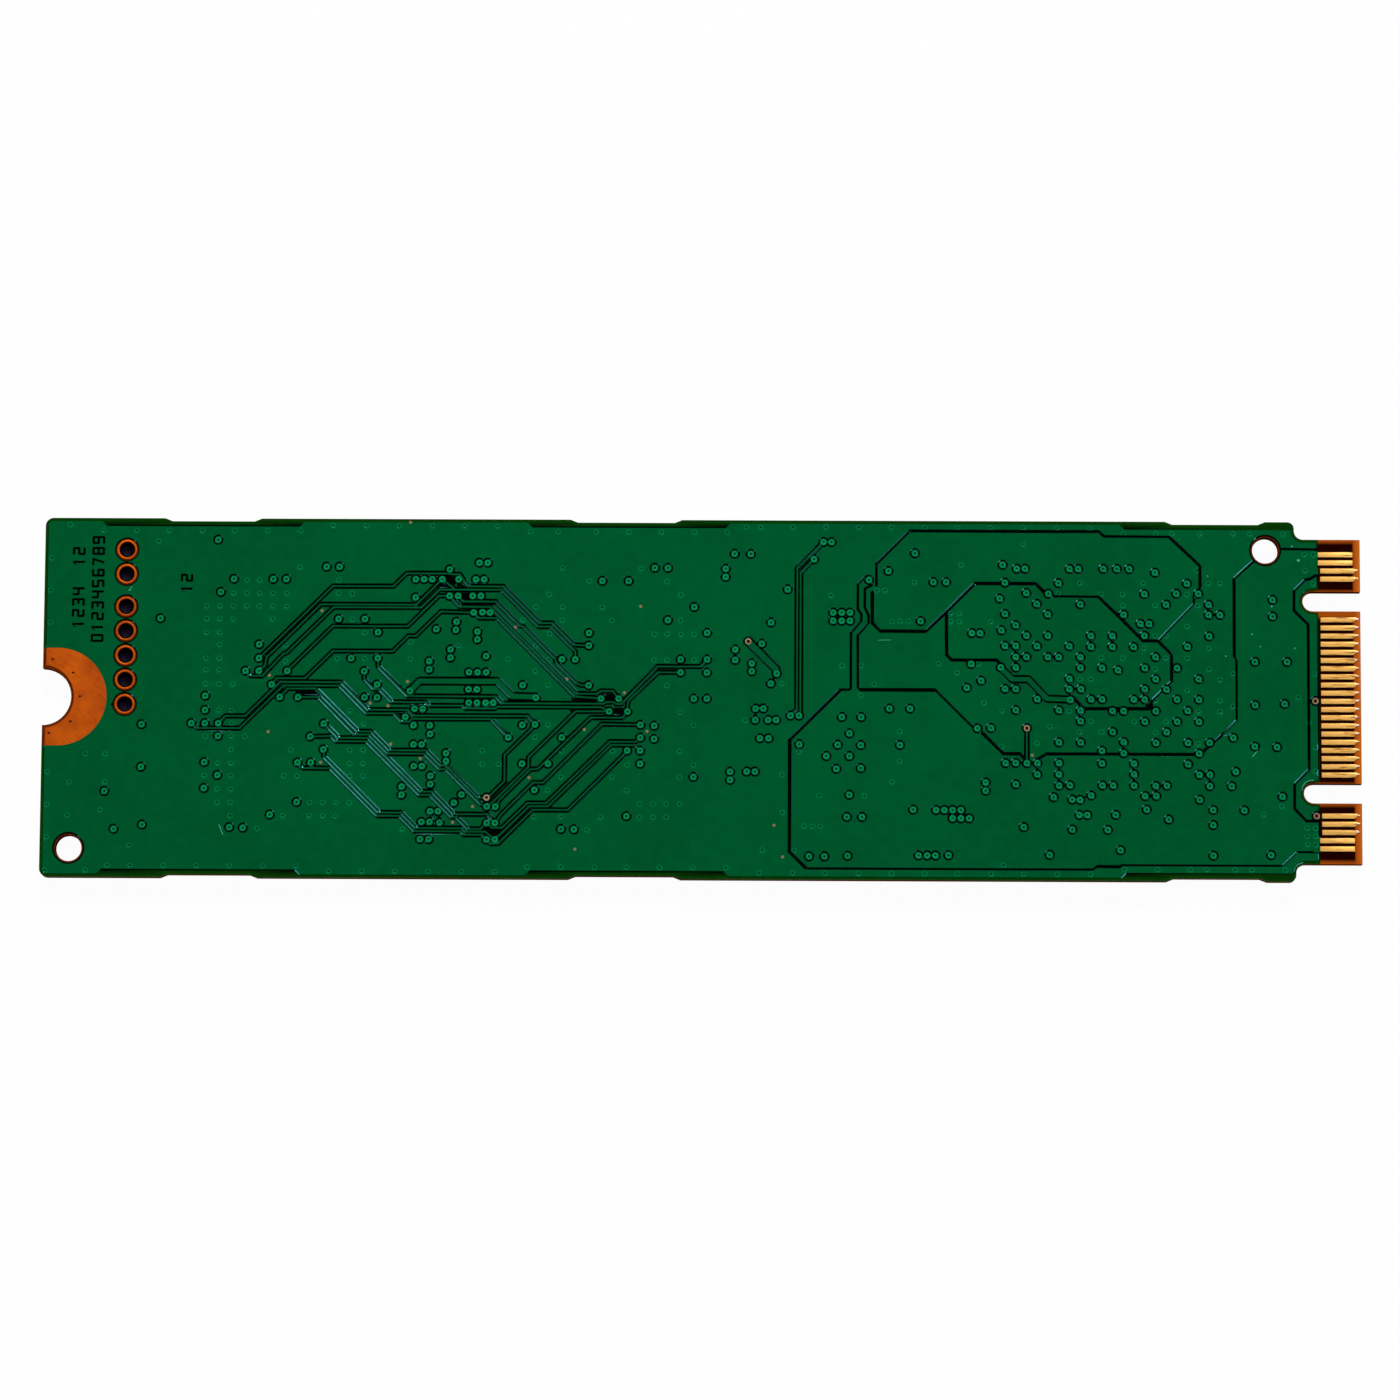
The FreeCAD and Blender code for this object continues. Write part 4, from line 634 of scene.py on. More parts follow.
def gold_material(look):
    """Hard gold plated on nickel: bright, with long rub marks from a socket near the tips."""
    tree, place = begin("hard_gold_plated")
    # Rub marks along the contacts, 0.1 mm wide and 1.2 mm long, wider than real ones so that they show
    along = add(tree, "Mapping", {"Vector": place, "Scale": (0.09, 1.0, 1.0)})
    rubs = add(tree, "TexNoise", {"Vector": along, "Scale": per_mm(0.11), "Detail": 3.0})
    broad = add(tree, "TexNoise", {"Vector": place, "Scale": per_mm(0.8), "Detail": 2.0})
    x, y, z = add(tree, "SeparateXYZ", (place,)).node.outputs
    tip = add(tree, "MapRange", (x, 37.9 * MM, 38.6 * MM, 0.15, 1.0))
    mark = add(tree, "MapRange", (rubs, 0.53, 0.62, 0.0, 0.7))
    worn = add(tree, "Math", (mark, tip), operation="MULTIPLY")
    tone = add(tree, "Mix", {0: broad, 6: look.gold_colour, 7: srgb("#FFB95A")})
    colour = add(tree, "Mix", {0: worn, 6: tone, 7: srgb("#7A4312")})
    # Where the plating bars were milled off at the tips, bare nickel shows, and its pale flecks are painted
    # glints
    nose = add(tree, "MapRange", (x, 39.62 * MM, 39.70 * MM))
    tip_glint_flecks = add(tree, "TexNoise", {"Vector": place, "Scale": per_mm(0.12), "Detail": 1.0})
    bright = add(tree, "MapRange", (tip_glint_flecks, 0.45, 0.6))
    nickel = add(tree, "Math", (nose, bright), operation="MULTIPLY")
    colour = add(tree, "Mix", {0: nickel, 6: colour, 7: srgb("#FFE9DC")})
    # Each rear contact stands on a multiple of its pitch; a thin strip along both its sides is darkened as
    # painted shade
    aside = add(tree, "Math", (y, 0.5 * CONTACT_PITCH * MM), operation="PINGPONG")
    painted_side_shade = add(tree, "MapRange", (aside, 0.138 * MM, 0.156 * MM))
    rear = add(tree, "Math", (z, REAR_CORE * MM), operation="GREATER_THAN")
    # Painted shadow darkens the roots of the signal contacts next to the rim of the lacquer; the roots of
    # the grounds are left bright
    off = add(tree, "Math", (y,), operation="ABSOLUTE")
    signal = add(tree, "Math", (off, SIGNAL_REACH * MM), operation="LESS_THAN")
    root = add(tree, "MapRange", (x, 37.57 * MM, 37.60 * MM, 1.0, 0.0))
    root = add(tree, "Math", (root, signal), operation="MULTIPLY")
    rim = add(tree, "Math", (painted_side_shade, root), operation="MAXIMUM")
    painted_edge_shade = add(tree, "Math", (rim, rear), operation="MULTIPLY")
    # Painted shade: the sides and the signal roots of the rear contacts turn dark brown
    colour = add(tree, "Mix", {0: painted_edge_shade, 6: colour, 7: srgb("#2E0E02")})
    surface(tree, colour, rubs, 0.42, 0.58, rubs, 0.3, 0.003, {
        "Metallic": 0.4, "Specular Tint": srgb("#FFC890")})


def laminate_material(look):
    """Glass-epoxy laminate: amber resin with a woven cloth, dark where inner copper shades it."""
    tree, place = begin(LAMINATE)
    x, y, z = add(tree, "SeparateXYZ", (place,)).node.outputs
    # The inner copper ends short of the tongue's tip and sides, so a plain amber border is left
    inside = 0.0
    for low_y, high_y in INNER_COPPER:
        reach = 0.5 * (high_y - low_y)
        off = add(tree, "Math", (y, 0.5 * (low_y + high_y) * MM), operation="SUBTRACT")
        far = add(tree, "Math", (off,), operation="ABSOLUTE")
        strip = add(tree, "MapRange", (far, (reach - 0.03) * MM, (reach + 0.18) * MM, 1.0, 0.0))
        inside = add(tree, "Math", (inside, strip), operation="MAXIMUM")
    tip = add(tree, "MapRange", (x, 39.53 * MM, 39.62 * MM, 1.0, 0.0))
    top = add(tree, "MapRange", (z, (REAR_CORE - 0.02) * MM, (REAR_CORE - 0.005) * MM))
    low = add(tree, "MapRange", (z, (FRONT_CORE + 0.005) * MM, (FRONT_CORE + 0.02) * MM, 1.0, 0.0))
    face = add(tree, "Math", (top, low), operation="MAXIMUM")
    field = add(tree, "Math", (inside, tip), operation="MULTIPLY")
    tongue = add(tree, "Math", (x, 37.2 * MM), operation="GREATER_THAN")
    plain = add(tree, "Math", (face, tongue), operation="MULTIPLY")
    shade = add(tree, "Math", (field, plain), operation="MULTIPLY")
    # Resin-rich clouds 1.5 mm wide, and the cloth's threads, 0.45 mm apart both ways
    cloud = add(tree, "TexNoise", {"Vector": place, "Scale": per_mm(1.5), "Detail": 4.0})
    threads = {"Vector": place, "Scale": per_mm(0.45 * math.tau), "Distortion": 0.6}
    warp, weft = (add(tree, "TexWave", threads, bands_direction=way) for way in "XY")
    cloth = add(tree, "Math", (warp, weft), operation="MULTIPLY")
    amber = add(tree, "Mix", {0: cloud, 6: look.laminate_colour, 7: srgb("#8E3B07")})
    # The ground lead-in at the tip is freshly cut and paler
    pale = add(tree, "MapRange", (x, 39.6 * MM, 39.95 * MM))
    ground = add(tree, "Mix", {0: pale, 6: srgb("#A8440C"), 7: srgb("#C4681F")})
    amber = add(tree, "Mix", {0: tip, 6: ground, 7: amber})
    # Routed sides are browner, in thin level plies 0.12 mm thick
    plies = add(tree, "TexWave", {"Vector": place, "Scale": per_mm(0.12 * math.tau), "Distortion": 1.5},
                bands_direction="Z")
    side = add(tree, "Mix", {0: plies, 6: srgb("#501A05"), 7: srgb("#742E09")})
    body = add(tree, "Mix", {0: plain, 6: side, 7: amber})
    colour = add(tree, "Mix", {0: shade, 6: body, 7: look.field_colour})
    surface(tree, colour, cloud, 0.38, 0.55, cloth, 0.2, 0.004, {
        "IOR": 1.55, "Specular IOR Level": 0.0})


def speckled_material(name, base, fleck, grain_mm, roughness, metallic=0.0, shine=0.5):
    """A fine-grained finish: flecks of a second tone, and a grain that roughens the gloss."""
    tree, place = begin(name)
    grain = add(tree, "TexNoise", {"Vector": place, "Scale": per_mm(grain_mm), "Detail": 4.0})
    patch = add(tree, "TexNoise", {"Vector": place, "Scale": per_mm(grain_mm * 12), "Detail": 2.0})
    both = add(tree, "Math", (grain, patch))
    share = add(tree, "MapRange", (both, 0.75, 1.25))
    colour = add(tree, "Mix", {0: share, 6: base, 7: fleck})
    surface(tree, colour, grain, roughness - 0.08, roughness + 0.08, grain, 0.5, 0.004, {
        "Metallic": metallic, "Specular IOR Level": shine})


# Flat fields: each gives a signed distance in millimetres, below zero inside the shape

def parts_along(points):
    """Numbers of the points in parts that follow each other along the card."""
    order = np.argsort(points[:, 0])
    return np.array_split(order, len(points) // CHUNK + 1)


def disc_field(points, centres, radius):
    """Distance to the nearest centre, less the radius, and FAR when no centre is near."""
    nearest = np.full(len(points), FAR)
    for part in parts_along(points):
        here = points[part]
        low, high = here[0, 0] - FAR, here[-1, 0] + FAR
        near = centres[(centres[:, 0] > low) & (centres[:, 0] < high)]
        if len(near):
            across = here[:, 0:1] - near[None, :, 0]
            along = here[:, 1:2] - near[None, :, 1]
            nearest[part] = np.sqrt((across * across + along * along).min(1)) - radius
    return nearest


def stroke_field(points, starts, ends, halves):
    """Distance to the nearest straight run, less that run's half width, and FAR when none is near."""
    nearest = np.full(len(points), FAR)
    left = np.minimum(starts[:, 0], ends[:, 0])
    right = np.maximum(starts[:, 0], ends[:, 0])
    for part in parts_along(points):
        here = points[part]
        rows = (right > here[0, 0] - FAR) & (left < here[-1, 0] + FAR)
        if not rows.any():
            continue
        first, run = starts[rows], ends[rows] - starts[rows]
        length = np.maximum((run ** 2).sum(1), 1e-12)
        across = here[:, 0:1] - first[None, :, 0]
        along = here[:, 1:2] - first[None, :, 1]
        share = np.clip((across * run[:, 0] + along * run[:, 1]) / length, 0.0, 1.0)
        across = across - share * run[:, 0]
        along = along - share * run[:, 1]
        nearest[part] = (np.sqrt(across * across + along * along) - halves[rows]).min(1)
    return nearest


def patch_sides(patch):
    """Corners of a straight-sided patch, anticlockwise, and the outward normals of its sides."""
    corners = np.array(patch, float)
    after = np.roll(corners, -1, axis=0)
    if (corners[:, 0] * after[:, 1] - after[:, 0] * corners[:, 1]).sum() < 0:
        corners = corners[::-1]
        after = np.roll(corners, -1, axis=0)
    run = after - corners
    normal = np.stack([run[:, 1], -run[:, 0]], 1)
    return corners, normal / np.linalg.norm(normal, axis=1)[:, None]


def patch_field(points, patches):
    """Largest distance past any side of a patch, taken over the nearest patch."""
    best = np.full(len(points), np.inf)
    for patch in patches:
        corners, normal = patch_sides(patch)
        past = ((points[:, None, :] - corners[None, :, :]) * normal[None, :, :]).sum(2).max(1)
        best = np.minimum(best, past)
    return best


def inside_loops(points, loops):
    """Even-odd rule: inside when a ray along Y crosses the loops an odd number of times."""
    starts = np.concatenate(loops)
    ends = np.concatenate([np.roll(loop, -1, axis=0) for loop in loops])
    left = np.minimum(starts[:, 0], ends[:, 0])
    right = np.maximum(starts[:, 0], ends[:, 0])
    inside = np.zeros(len(points), bool)
    for part in parts_along(points):
        here = points[part]
        rows = (right >= here[0, 0]) & (left <= here[-1, 0])
        first, last = starts[rows], ends[rows]
        x, y = here[:, 0:1], here[:, 1:2]
        crosses = (first[:, 0] > x) != (last[:, 0] > x)
        span = np.where(last[:, 0] == first[:, 0], 1.0, last[:, 0] - first[:, 0])
        where = first[:, 1] + (x - first[:, 0]) * (last[:, 1] - first[:, 1]) / span
        inside[part] = (crosses & (y < where)).sum(1) % 2 == 1
    return inside


# Contours: lines of points that the triangulated surfaces follow

def arc(centre, radius, start, finish, steps):
    """Points on a circle between two angles in degrees."""
    turn = np.radians(np.linspace(start, finish, steps))
    return np.stack([centre[0] + radius * np.cos(turn), centre[1] + radius * np.sin(turn)], 1)


def rings(centres, radius, sides):
    """One closed ring of points round each centre."""
    turn = np.arange(sides) * math.tau / sides
    ring = radius * np.stack([np.cos(turn), np.sin(turn)], 1)
    return np.asarray(centres, float)[:, None, :] + ring[None, :, :]


def capsules(starts, ends, halves, cap=3):
    """The outline of each straight run at its half width, with round ends."""
    run = ends - starts
    run = run / np.maximum(np.linalg.norm(run, axis=1), 1e-9)[:, None]
    side = np.stack([-run[:, 1], run[:, 0]], 1)
    turn = np.linspace(-math.pi / 2, math.pi / 2, cap)[None, :, None]
    out = np.cos(turn) * run[:, None, :] + np.sin(turn) * side[:, None, :]
    head = ends[:, None, :] + halves[:, None, None] * out
    tail = starts[:, None, :] - halves[:, None, None] * out
    return np.concatenate([head, tail], 1)


def inset_patch(patch, inset):
    """A straight-sided patch with each side moved inwards, its corners where the moved sides meet."""
    corners, normal = patch_sides(patch)
    level = (corners * normal).sum(1) - inset
    before = np.roll(normal, 1, axis=0)
    level_before = np.roll(level, 1)
    cross = before[:, 0] * normal[:, 1] - before[:, 1] * normal[:, 0]
    x = (level_before * normal[:, 1] - level * before[:, 1]) / cross
    y = (before[:, 0] * level - normal[:, 0] * level_before) / cross
    return np.stack([x, y], 1)[None, :, :]


def stroke_table(lines):
    """Starts, ends and half widths of the straight runs in lists of half width and corners."""
    starts = np.concatenate([np.array(corners[:-1], float) for _, corners in lines])
    ends = np.concatenate([np.array(corners[1:], float) for _, corners in lines])
    halves = np.concatenate([np.full(len(corners) - 1, float(half)) for half, corners in lines])
    return starts, ends, halves


def figure_lines():
    """Strokes of the layer numbers, which read upwards with their heads to the left."""
    lines = []
    for (x, y), height, text in FIGURES:
        for place, figure in enumerate(text):
            corners = []
            for across, up in FIGURE_STROKES[figure]:
                corners.append((x - up * height, y + place * FIGURE_STEP + across * FIGURE_WIDTH))
            lines.append((FIGURE_HALF_STROKE, corners))
    return lines


# The card's outline

def side_points(sign):
    """One long side from the screw end to the shoulder, with its tab recesses."""
    points = []
    for start, finish in RECESSES:
        points.extend([
            (start, HALF_WIDTH), (start + RECESS_SLOPE, HALF_WIDTH - RECESS_DEPTH),
            (finish - RECESS_SLOPE, HALF_WIDTH - RECESS_DEPTH), (finish, HALF_WIDTH)])
    shoulder = (SHOULDER_X - SHOULDER_RADIUS, HALF_WIDTH - SHOULDER_RADIUS)
    root = (SHOULDER_X + ROOT_RADIUS, TONGUE_HALF + ROOT_RADIUS)
    parts = [
        arc((-HALF_LENGTH + CORNER_RADIUS, HALF_WIDTH - CORNER_RADIUS), CORNER_RADIUS, 180, 90, 9),
        np.array(points, float),
        arc(shoulder, SHOULDER_RADIUS, 90, 0, 8),
        arc(root, ROOT_RADIUS, 180, 270, 9),
    ]
    return np.concatenate(parts) * np.array([1.0, sign])


def mask_outline():
    """The lacquer's outline, anticlockwise: sides, tongue root, key slots and the screw land's opening."""
    land = arc((LAND_X, 0.0), LAND_RADIUS, 90, -90, 49)
    parts = [
        np.array([(-HALF_LENGTH, LAND_RADIUS)]), land, np.array([(-HALF_LENGTH, -LAND_RADIUS)]),
        side_points(-1.0), np.array([(MASK_EDGE, -TONGUE_HALF)])]
    for key_y in sorted(KEY_PLACES):
        slot = arc((KEY_ROOT_X, key_y), KEY_OPENING, 270, 90, 19)
        parts.extend([np.array([(MASK_EDGE, key_y - KEY_OPENING)]), slot,
                      np.array([(MASK_EDGE, key_y + KEY_OPENING)])])
    parts.extend([np.array([(MASK_EDGE, TONGUE_HALF)]), side_points(1.0)[::-1]])
    return np.concatenate(parts)


def edge_lines():
    """Strokes along the cut edges of the card, from which the copper stands back."""
    lower, upper = side_points(-1.0), side_points(1.0)
    lines = []
    for side, sign in ((lower, -1.0), (upper, 1.0)):
        path = np.concatenate([[(-HALF_LENGTH, sign * (LAND_RADIUS + EDGE_PULLBACK))], side,
                               [(MASK_EDGE, sign * TONGUE_HALF)]])
        lines.append((EDGE_PULLBACK, path.tolist()))
    for key_y in KEY_PLACES:
        slot = arc((KEY_ROOT_X, key_y), KEY_RADIUS, 270, 90, 13)
        path = np.concatenate([[(MASK_EDGE, key_y - KEY_RADIUS)], slot, [(MASK_EDGE, key_y + KEY_RADIUS)]])
        lines.append((EDGE_PULLBACK, path.tolist()))
    return lines


def band_patches():
    """The bare bands along both sides, with slanted ends."""
    patches = []
    for start, finish in BARE_BANDS:
        for sign in (1.0, -1.0):
            outer = sign * (HALF_WIDTH + BAND_OVERLAP)
            middle = sign * (HALF_WIDTH - EDGE_PULLBACK)
            inner = sign * (HALF_WIDTH - BAND_REACH)
            patches.append(((start, outer), (start, middle), (start + BAND_SLANT, inner),
                            (finish - BAND_SLANT, inner), (finish, middle), (finish, outer)))
    return patches


# Relief solids

def smooth_step(share):
    """A rise from 0 to 1 that starts and ends level."""
    share = np.clip(share, 0.0, 1.0)
    return share * share * (3.0 - 2.0 * share)


class Etching:
    """The copper of one face: where it lies, where it is etched away, and its vias.

    The field is above zero on copper. It is the larger of the distance to the nearest gap and the depth
    inside the nearest track or pad, so pads and tracks stay standing in the gaps round them.
    """

    def __init__(self, depth, vias, bare_vias, pour_vias, dots, tracks, stubs, splits, patches, moats,
                 edges, figures, scuffs_and_glints):
        self.depth = depth
        self.rings = np.array(list(vias) + list(bare_vias), float)
        self.bare = np.array(bare_vias, float).reshape(-1, 2)
        self.pour = np.array(pour_vias, float)
        self.dots = np.array(dots, float).reshape(-1, 2)
        self.moats = moats
        self.patches = patches
        clear = [(half + 2.0 * ETCH_SLOPE, corners) for half, corners in tracks]
        lines = [(half + SPLIT_SPREAD, corners) for half, corners in splits]
        lines.extend(self.bridges())
        self.gaps = stroke_table(clear + lines + figures + edges)
        self.cores = stroke_table(list(tracks) + list(stubs))
        self.edges = stroke_table(edges)
        self.bands = band_patches()
        self.scuffs_and_glints = stroke_table(scuffs_and_glints)

    def bridges(self):
        """Gaps between neighbouring vias where the pour's sliver would be too thin to stand."""
        apart = np.linalg.norm(self.rings[:, None] - self.rings[None, :], axis=2)
        pairs = np.argwhere((apart > 0.01) & (apart < 2.0 * VIA_MOAT + SLIVER))
        pairs = pairs[pairs[:, 0] < pairs[:, 1]]
        return [(BRIDGE_HALF, pair.tolist()) for pair in self.rings[pairs]]

    def field(self, points):
        """Signed distance from the edge of the copper."""
        gap = stroke_field(points, *self.gaps)
        gap = np.minimum(gap, disc_field(points, self.rings, VIA_MOAT))
        gap = np.minimum(gap, patch_field(points, self.patches + self.bands))
        for centres, radius in self.moats:
            gap = np.minimum(gap, disc_field(points, np.array(centres, float), radius))
        copper = stroke_field(points, *self.cores)
        copper = np.minimum(copper, disc_field(points, self.rings, VIA_PAD))
        return np.maximum(gap, -copper)

    def uphill(self, points):
        """The way that the field rises fastest, from its change over a small step along X and Y."""
        step = PROBE * np.eye(2)
        rise = [self.field(points + one) - self.field(points - one) for one in step]
        rise = np.column_stack(rise)
        return rise / np.maximum(np.linalg.norm(rise, axis=1), 1e-9)[:, None]

    def sink(self, points):
        """How far the lacquer lies below its face: sloped into the gaps, and pitted over the vias."""
        fall = self.depth * np.clip(-self.field(points) / ETCH_SLOPE, 0.0, 1.0)
        pad = disc_field(points, self.rings, 0.0)
        fall = fall + PIT_DEPTH * smooth_step(1.0 - pad / (1.5 * VIA_PIT))
        pour = disc_field(points, self.pour, 0.0)
        return fall + np.interp(pour, POUR_VIA_RADII[::-1], POUR_VIA_SINKS[::-1])

    def contours(self):
        """Closed lines of points along the top and foot of each slope, and round each via."""
        lines = []
        for step in (0.0, ETCH_SLOPE):
            starts, ends, halves = self.gaps
            lines.append(capsules(starts, ends, np.maximum(halves - step, THINNEST)))
            starts, ends, halves = self.cores
            lines.append(capsules(starts, ends, halves + step))
            lines.append(rings(self.rings, VIA_MOAT - step, VIA_SIDES))
            lines.append(rings(self.rings, VIA_PAD + step, VIA_SIDES))
            lines.extend(rings(centres, radius - step, 40) for centres, radius in self.moats)
            lines.extend(inset_patch(patch, step) for patch in self.patches + self.bands)
        lines.append(rings(self.rings, 1.5 * VIA_PIT, 8))
        lines.append(rings(self.rings, VIA_PIT, 8))
        lines.extend(rings(self.pour, radius, 8) for radius in POUR_VIA_RADII)
        if len(self.dots):
            lines.extend(rings(self.dots, radius, 10) for radius in DOT_RADII)
            lines.extend(rings(self.bare, radius, 12) for radius in (BARE_RING, BARE_HOLE))
        starts, ends, halves = self.scuffs_and_glints
        lines.append(capsules(starts, ends, halves))
        return lines

    def paint(self, points):
        """Shares of each finish at the points: copper below, via pads, cut edges and bare copper."""
        field = self.field(points)
        copper = np.clip(1.0 + field / (0.3 * ETCH_SLOPE), 0.0, 1.0)
        pad = disc_field(points, self.rings, 0.0)
        pour = disc_field(points, self.pour, 0.0)
        pit = np.maximum(pad < 1.1 * VIA_PIT, pour < POUR_VIA_RADII[2] * 1.1)
        over_pad = np.maximum((pad < VIA_PAD + TOUCH) * 1.0,
                              (pour < POUR_VIA_RADII[0] + LOOSE_TOUCH) * POUR_PAD_SHARE)
        edge = stroke_field(points, *self.edges) + EDGE_PULLBACK
        hollow = patch_field(points, self.patches) if self.patches else np.full(len(points), FAR)
        # The lacquer's slopes are smoothest at the card's ends and round the tracks, duller at the pads
        smooth = np.interp(np.abs(points[:, 0]), *SHINE_ALONG)
        upper = np.interp(points[:, 1], *SHINE_ACROSS)
        smooth = smooth * np.where(points[:, 0] < 0.0, upper, 1.0)
        smooth = smooth * np.where(pad > VIA_PAD + 0.9 * ETCH_SLOPE, 1.0, PAD_SHINE)
        bare = np.zeros(len(points))
        if len(self.bare):
            near = disc_field(points, self.bare, 0.0)
            bare = np.maximum(bare, (near < BARE_RING + TOUCH) * RING_SHARE)
            pit = np.maximum(pit, near < BARE_HOLE + TOUCH)
        if len(self.dots):
            near = disc_field(points, self.dots, 0.0)
            bare = np.maximum(bare, (near < DOT_RADII[1] + LOOSE_TOUCH) * DOT_SHARE)
        return {
            "over_copper": copper,
            "over_pad": over_pad,
            "scuff_and_glint": 1.0 * (stroke_field(points, *self.scuffs_and_glints) < 0.003),
            "in_pit": 1.0 * pit,
            "shiny": smooth * (hollow > PATCH_RIM) * (field < 0.0),
            "near_edge": smooth_step((EDGE_SHADE - edge) / EDGE_FADE),
            "bare_copper": bare,
        }


class Pitting:
    """A plain face with a few round pits."""

    def __init__(self, pits, radius, depth):
        self.pits = np.array(pits, float)
        self.radius = radius
        self.depth = depth

    def sink(self, points):
        """A smooth hollow under each pit."""
        near = disc_field(points, self.pits, 0.0)
        return self.depth * smooth_step(1.0 - near / self.radius)

    def contours(self):
        """Three rings round each pit."""
        return [rings(self.pits, self.radius * share, 12) for share in (1.0, 0.6, 0.25)]

    def paint(self, points):
        """Dark inside the pits."""
        near = disc_field(points, self.pits, 0.0)
        return {"in_pit": 1.0 * (near < self.radius * 0.65)}


def triangulate(loops, lines):
    """Triangles over the inside of the loops that follow every line of points."""
    points = list(loops)
    sizes = [np.full(1, len(loop)) for loop in loops]
    for group in lines:
        points.append(group.reshape(-1, 2))
        sizes.append(np.full(group.shape[0], group.shape[1]))
    points = np.concatenate(points)
    sizes = np.concatenate(sizes)
    first = np.cumsum(sizes) - sizes
    start = np.repeat(first, sizes)
    step = np.arange(len(points)) - start
    after = start + (step + 1) % np.repeat(sizes, sizes)
    links = np.stack([np.arange(len(points)), after], 1)
    result = delaunay_2d_cdt(points.tolist(), links.tolist(), [], 0, MERGE_MM, False)
    flat = np.array([tuple(point) for point in result[0]], float)
    faces = np.array(result[2], np.int64)
    middle = flat[faces].mean(1)
    faces = faces[inside_loops(middle, loops)]
    one, two, three = (flat[faces[:, corner]] for corner in range(3))
    turn = (two - one)[:, 0] * (three - one)[:, 1] - (two - one)[:, 1] * (three - one)[:, 0]
    faces = np.where((turn < 0)[:, None], faces[:, ::-1], faces)
    faces = faces[np.abs(turn) > 1e-12]
    used, faces = np.unique(faces, return_inverse=True)
    return flat[used], faces.reshape(-1, 3)


def open_edges(faces):
    """Edges that belong to one triangle only, in that triangle's direction."""
    edges = np.concatenate([faces[:, (0, 1)], faces[:, (1, 2)], faces[:, (2, 0)]])
    low, high = edges.min(1), edges.max(1)
    _, place, count = np.unique(low * (faces.max() + 1) + high, return_index=True, return_counts=True)
    return edges[place[count == 1]]


def relief_piece(name, loops, relief, face_z, back_z, material):
    """A closed sheet: a relief face, straight walls down from its rim, and a flat back.

    The face is flat at face_z and sinks towards the back by the relief's own depth.
    """
    flat, top = triangulate(loops, relief.contours())
    up = math.copysign(1.0, face_z - back_z)
    height = face_z - up * relief.sink(flat)

    rim = open_edges(top)
    rim_points = np.unique(rim)
    place = np.full(len(flat), -1)
    place[rim_points] = len(flat) + np.arange(len(rim_points))
    points = np.concatenate([
        np.column_stack([flat, height]),
        np.column_stack([flat[rim_points], np.full(len(rim_points), back_z)])])

    low = place[rim]
    wall = np.concatenate([
        np.stack([rim[:, 1], rim[:, 0], low[:, 0]], 1),
        np.stack([rim[:, 1], low[:, 0], low[:, 1]], 1)])

    seat = np.searchsorted(rim_points, rim)
    result = delaunay_2d_cdt(flat[rim_points].tolist(), seat.tolist(), [], 0, MERGE_MM * 0.01, False)
    back = np.array(result[2], np.int64)
    back_flat = np.array([tuple(point) for point in result[0]], float)
    back = back[inside_loops(back_flat[back].mean(1), loops)]
    back = back[:, ::-1] + len(flat)

    faces = np.concatenate([top, wall, back])
    one, two, three = (points[faces[:, corner]] for corner in range(3))
    normal = np.cross(two - one, three - one)
    tilt = np.abs(normal[:, 2]) / np.maximum(np.linalg.norm(normal, axis=1), 1e-18)
    if up < 0:
        faces = faces[:, ::-1]
    piece = mesh_piece(name, points, faces, material, smooth=False)
    for domain, places in (("FACE", points[faces].mean(1)), ("POINT", points)):
        for label, values in relief.paint(places[:, :2]).items():
            if (label in CRISP) == (domain == "FACE"):
                mark(piece, label, domain, values)
    slope = (tilt < SLOPE_TILT[1]) & (tilt > SLOPE_TILT[0])
    if isinstance(relief, Etching):
        # Faces that only fill in between two slopes lean another way than the slope, and stay dull, and
        # so do slopes along and across the card, where the lacquer ran together
        lean = normal[slope, :2] / np.linalg.norm(normal[slope, :2], axis=1)[:, None]
        way = relief.uphill(points[faces[slope]].mean(1)[:, :2])
        slope[slope] = (np.abs((lean * way).sum(1)) > SLOPE_FIT) & (np.abs(lean).min(1) > SLANT)
    mark(piece, "on_slope", "FACE", slope)
    return piece


def mark(piece, label, domain, values):
    """Store one value for each face or point of the piece, for its material to read."""
    layer = piece.data.attributes.new(label, "FLOAT", domain)
    layer.data.foreach_set("value", values.astype(np.float32))


def new_object(name, data):
    """An object in the scene that holds a mesh, a light or a camera."""
    piece = bpy.data.objects.new(name, data)
    bpy.context.scene.collection.objects.link(piece)
    return piece


def mesh_piece(name, points_mm, faces, material, smooth=True):
    """An object at the origin from points in millimetres and rows of corner numbers."""
    mesh = bpy.data.meshes.new(name)
    mesh.from_pydata((np.asarray(points_mm) * MM).tolist(), [], faces.tolist())
    mesh.polygons.foreach_set("use_smooth", np.full(len(mesh.polygons), smooth))
    mesh.materials.append(bpy.data.materials[material])
    mesh.update()
    return new_object(name, mesh)


def settle(piece, node):
    """Tie a finished piece to the drive, in place of its solid."""
    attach(piece, "root")
    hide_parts(node)


def rounded_copy(node, name, material, width_mm):
    """The node's own shape with its sharp edges rounded over."""
    mesh = NODES[node].data.copy()
    mesh.name = name
    work = bmesh.new()
    work.from_mesh(mesh)
    bmesh.ops.remove_doubles(work, verts=work.verts, dist=WELD_MM * MM)
    bmesh.ops.dissolve_limit(work, angle_limit=math.radians(FLAT_ANGLE), verts=work.verts, edges=work.edges)
    work.to_mesh(mesh)
    work.free()
    mesh.materials.clear()
    mesh.materials.append(bpy.data.materials[material])
    piece = new_object(name, mesh)
    bevel = piece.modifiers.new("rounded_edges", "BEVEL")
    bevel.width = width_mm * MM
    bevel.segments = 2
    bevel.limit_method = "ANGLE"
    bevel.angle_limit = math.radians(SHARP_ANGLE)
    bevel.harden_normals = True
    mesh.polygons.foreach_set("use_smooth", np.ones(len(mesh.polygons), bool))
    settle(piece, node)


